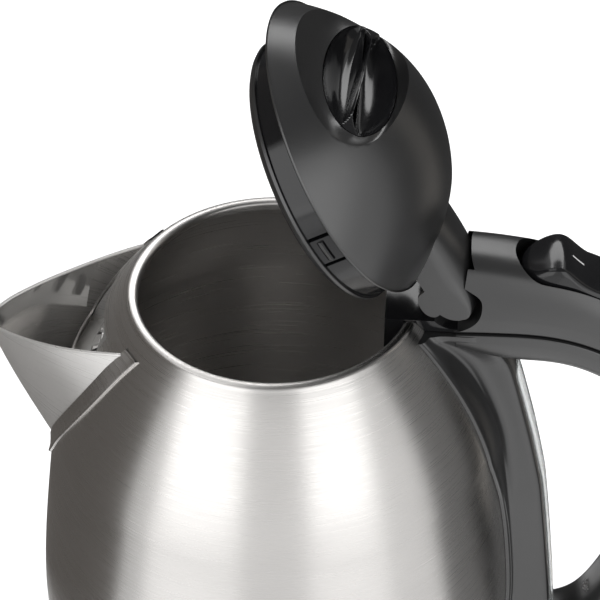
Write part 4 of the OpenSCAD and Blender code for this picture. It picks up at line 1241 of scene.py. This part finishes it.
def build_world():
    """White to the camera, reflections and clear parts, softer as a light."""
    world = bare(bpy.data.worlds.new("studio"))
    bpy.context.scene.world = world
    seen = ray_is(world, "Is Camera Ray", "Is Glossy Ray", "Is Transmission Ray")
    level = add_node(world, "ShaderNodeMapRange", To_Min=0.5, To_Max=1.0)
    back = add_node(world, "ShaderNodeBackground")
    out = add_node(world, "ShaderNodeOutputWorld")
    link(world, seen, level.inputs["Value"])
    link(world, level.outputs["Result"], back.inputs["Strength"])
    link(world, back.outputs[0], out.inputs["Surface"])


def build_camera():
    """The camera: close, looking down past the open lid."""
    data = bpy.data.cameras.new("camera")
    data.lens = 132
    data.sensor_width = 36
    data.clip_start, data.clip_end = 0.02, 40
    camera = add_object("camera", data)
    camera.location = (0.04953, -0.52632, 0.65755)
    camera.rotation_euler = (math.radians(49.11), 0, CAMERA_TURN)
    bpy.context.scene.camera = camera


def build_stage():
    """Floor, world, lamps, reflection screens and camera."""
    build_camera()
    build_floor()
    build_world()
    softbox("left_lamp", -37.5, 1.25, 0.62, (0.94, 1.3), 1.25, 9)
    softbox("right_lamp", 34, 1.25, 0.62, (0.80, 1.3), 1.2, -9)
    softbox("top_lamp", -100, 0.5, 1.5, (1.0, 1.0), 1.0)
    softbox("back_lamp", 172, 1.3, 1.5, (1.6, 0.9), 3.0)
    dark = (1.0, 0.93, 0.87)
    card("screen_left", -150, -68, 0.12, dark)
    card("screen_middle", -15, 14, 0.95)
    card("screen_near_left", -68, -56, 0.78)
    card("screen_near_right", 48, 73, 0.95)
    card("screen_right", 73, 97, 0.17)
    card("screen_warm", 97, 118, 0.5, (1.0, 0.95, 0.88))
    card("screen_back", 118, 210, 0.07, top=1.05)
    card("ceiling", -180, 180, 0.2, near=0.02, low=1.595)


# ---- add-on


class KETTLE_OT_finishes(bpy.types.Operator):
    """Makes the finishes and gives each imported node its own"""

    bl_idname = "kettle.finishes"
    bl_label = "Finishes"

    def execute(self, context):
        build_finishes()
        dress_nodes()
        return {"FINISHED"}


class KETTLE_OT_jug(bpy.types.Operator):
    """Builds the brushed steel wall of the jug"""

    bl_idname = "kettle.jug"
    bl_label = "Jug wall"

    def execute(self, context):
        build_jug_wall()
        return {"FINISHED"}


class KETTLE_OT_spout(bpy.types.Operator):
    """Builds the folded spout and its welded flange"""

    bl_idname = "kettle.spout"
    bl_label = "Spout"

    def execute(self, context):
        build_spout()
        build_spout_flange()
        return {"FINISHED"}


class KETTLE_OT_handle(bpy.types.Operator):
    """Builds both shells of the handle and its spine"""

    bl_idname = "kettle.handle"
    bl_label = "Handle"

    def execute(self, context):
        build_handle()
        return {"FINISHED"}


class KETTLE_OT_gauge(bpy.types.Operator):
    """Builds the clear strip of the water gauge"""

    bl_idname = "kettle.gauge"
    bl_label = "Water gauge"

    def execute(self, context):
        build_gauge()
        return {"FINISHED"}


class KETTLE_OT_switch(bpy.types.Operator):
    """Builds the rocker and its printed stroke"""

    bl_idname = "kettle.switch"
    bl_label = "Switch"

    def execute(self, context):
        build_rocker()
        return {"FINISHED"}


class KETTLE_OT_lid(bpy.types.Operator):
    """Builds the lid's domed cover and its arm"""

    bl_idname = "kettle.lid"
    bl_label = "Lid"

    def execute(self, context):
        build_lid()
        build_arm()
        return {"FINISHED"}


class KETTLE_OT_grip(bpy.types.Operator):
    """Builds the polished grip let into the lid"""

    bl_idname = "kettle.grip"
    bl_label = "Lid grip"

    def execute(self, context):
        build_grip()
        return {"FINISHED"}


class KETTLE_OT_stage(bpy.types.Operator):
    """Builds the floor, the light and the camera"""

    bl_idname = "kettle.stage"
    bl_label = "Stage"

    def execute(self, context):
        build_stage()
        return {"FINISHED"}


class KETTLE_PT_panel(bpy.types.Panel):
    """Lists the kettle's sizes, colours and pieces"""

    bl_idname = "KETTLE_PT_panel"
    bl_label = "Kettle"
    bl_space_type = "VIEW_3D"
    bl_region_type = "UI"
    bl_category = "Kettle"

    def draw(self, context):
        layout = self.layout
        for name, group in PROPERTY_GROUPS.items():
            box = layout.box()
            box.label(text=name.removeprefix("kettle_").capitalize())
            for value in group.__annotations__:
                box.prop(getattr(context.scene, name), value)
        for operator in OPERATORS:
            layout.operator(operator.bl_idname)


PROPERTY_GROUPS = {
    "kettle_jug": KettleJugSizes, "kettle_spout": KettleSpoutSizes, "kettle_handle": KettleHandleSizes,
    "kettle_lid": KettleLidSizes, "kettle_colours": KettleColours,
}
OPERATORS = (
    KETTLE_OT_finishes, KETTLE_OT_jug, KETTLE_OT_spout, KETTLE_OT_handle, KETTLE_OT_gauge,
    KETTLE_OT_switch, KETTLE_OT_lid, KETTLE_OT_grip, KETTLE_OT_stage,
)


def register():
    """Registers the classes and hangs the sizes on the scene."""
    for name, group in PROPERTY_GROUPS.items():
        bpy.utils.register_class(group)
        setattr(bpy.types.Scene, name, bpy.props.PointerProperty(type=group))
    for cls in (*OPERATORS, KETTLE_PT_panel):
        bpy.utils.register_class(cls)


def unregister():
    """Takes back what register did."""
    for cls in (KETTLE_PT_panel, *reversed(OPERATORS)):
        bpy.utils.unregister_class(cls)
    for name, group in PROPERTY_GROUPS.items():
        delattr(bpy.types.Scene, name)
        bpy.utils.unregister_class(group)


def main():
    """Registers the add-on and builds every piece in order."""
    register()
    bpy.context.scene.view_settings.view_transform = "Standard"
    bpy.ops.kettle.finishes()
    bpy.ops.kettle.jug()
    bpy.ops.kettle.spout()
    bpy.ops.kettle.handle()
    bpy.ops.kettle.gauge()
    bpy.ops.kettle.switch()
    bpy.ops.kettle.lid()
    bpy.ops.kettle.grip()
    bpy.ops.kettle.stage()


if __name__ == "__main__":
    main()
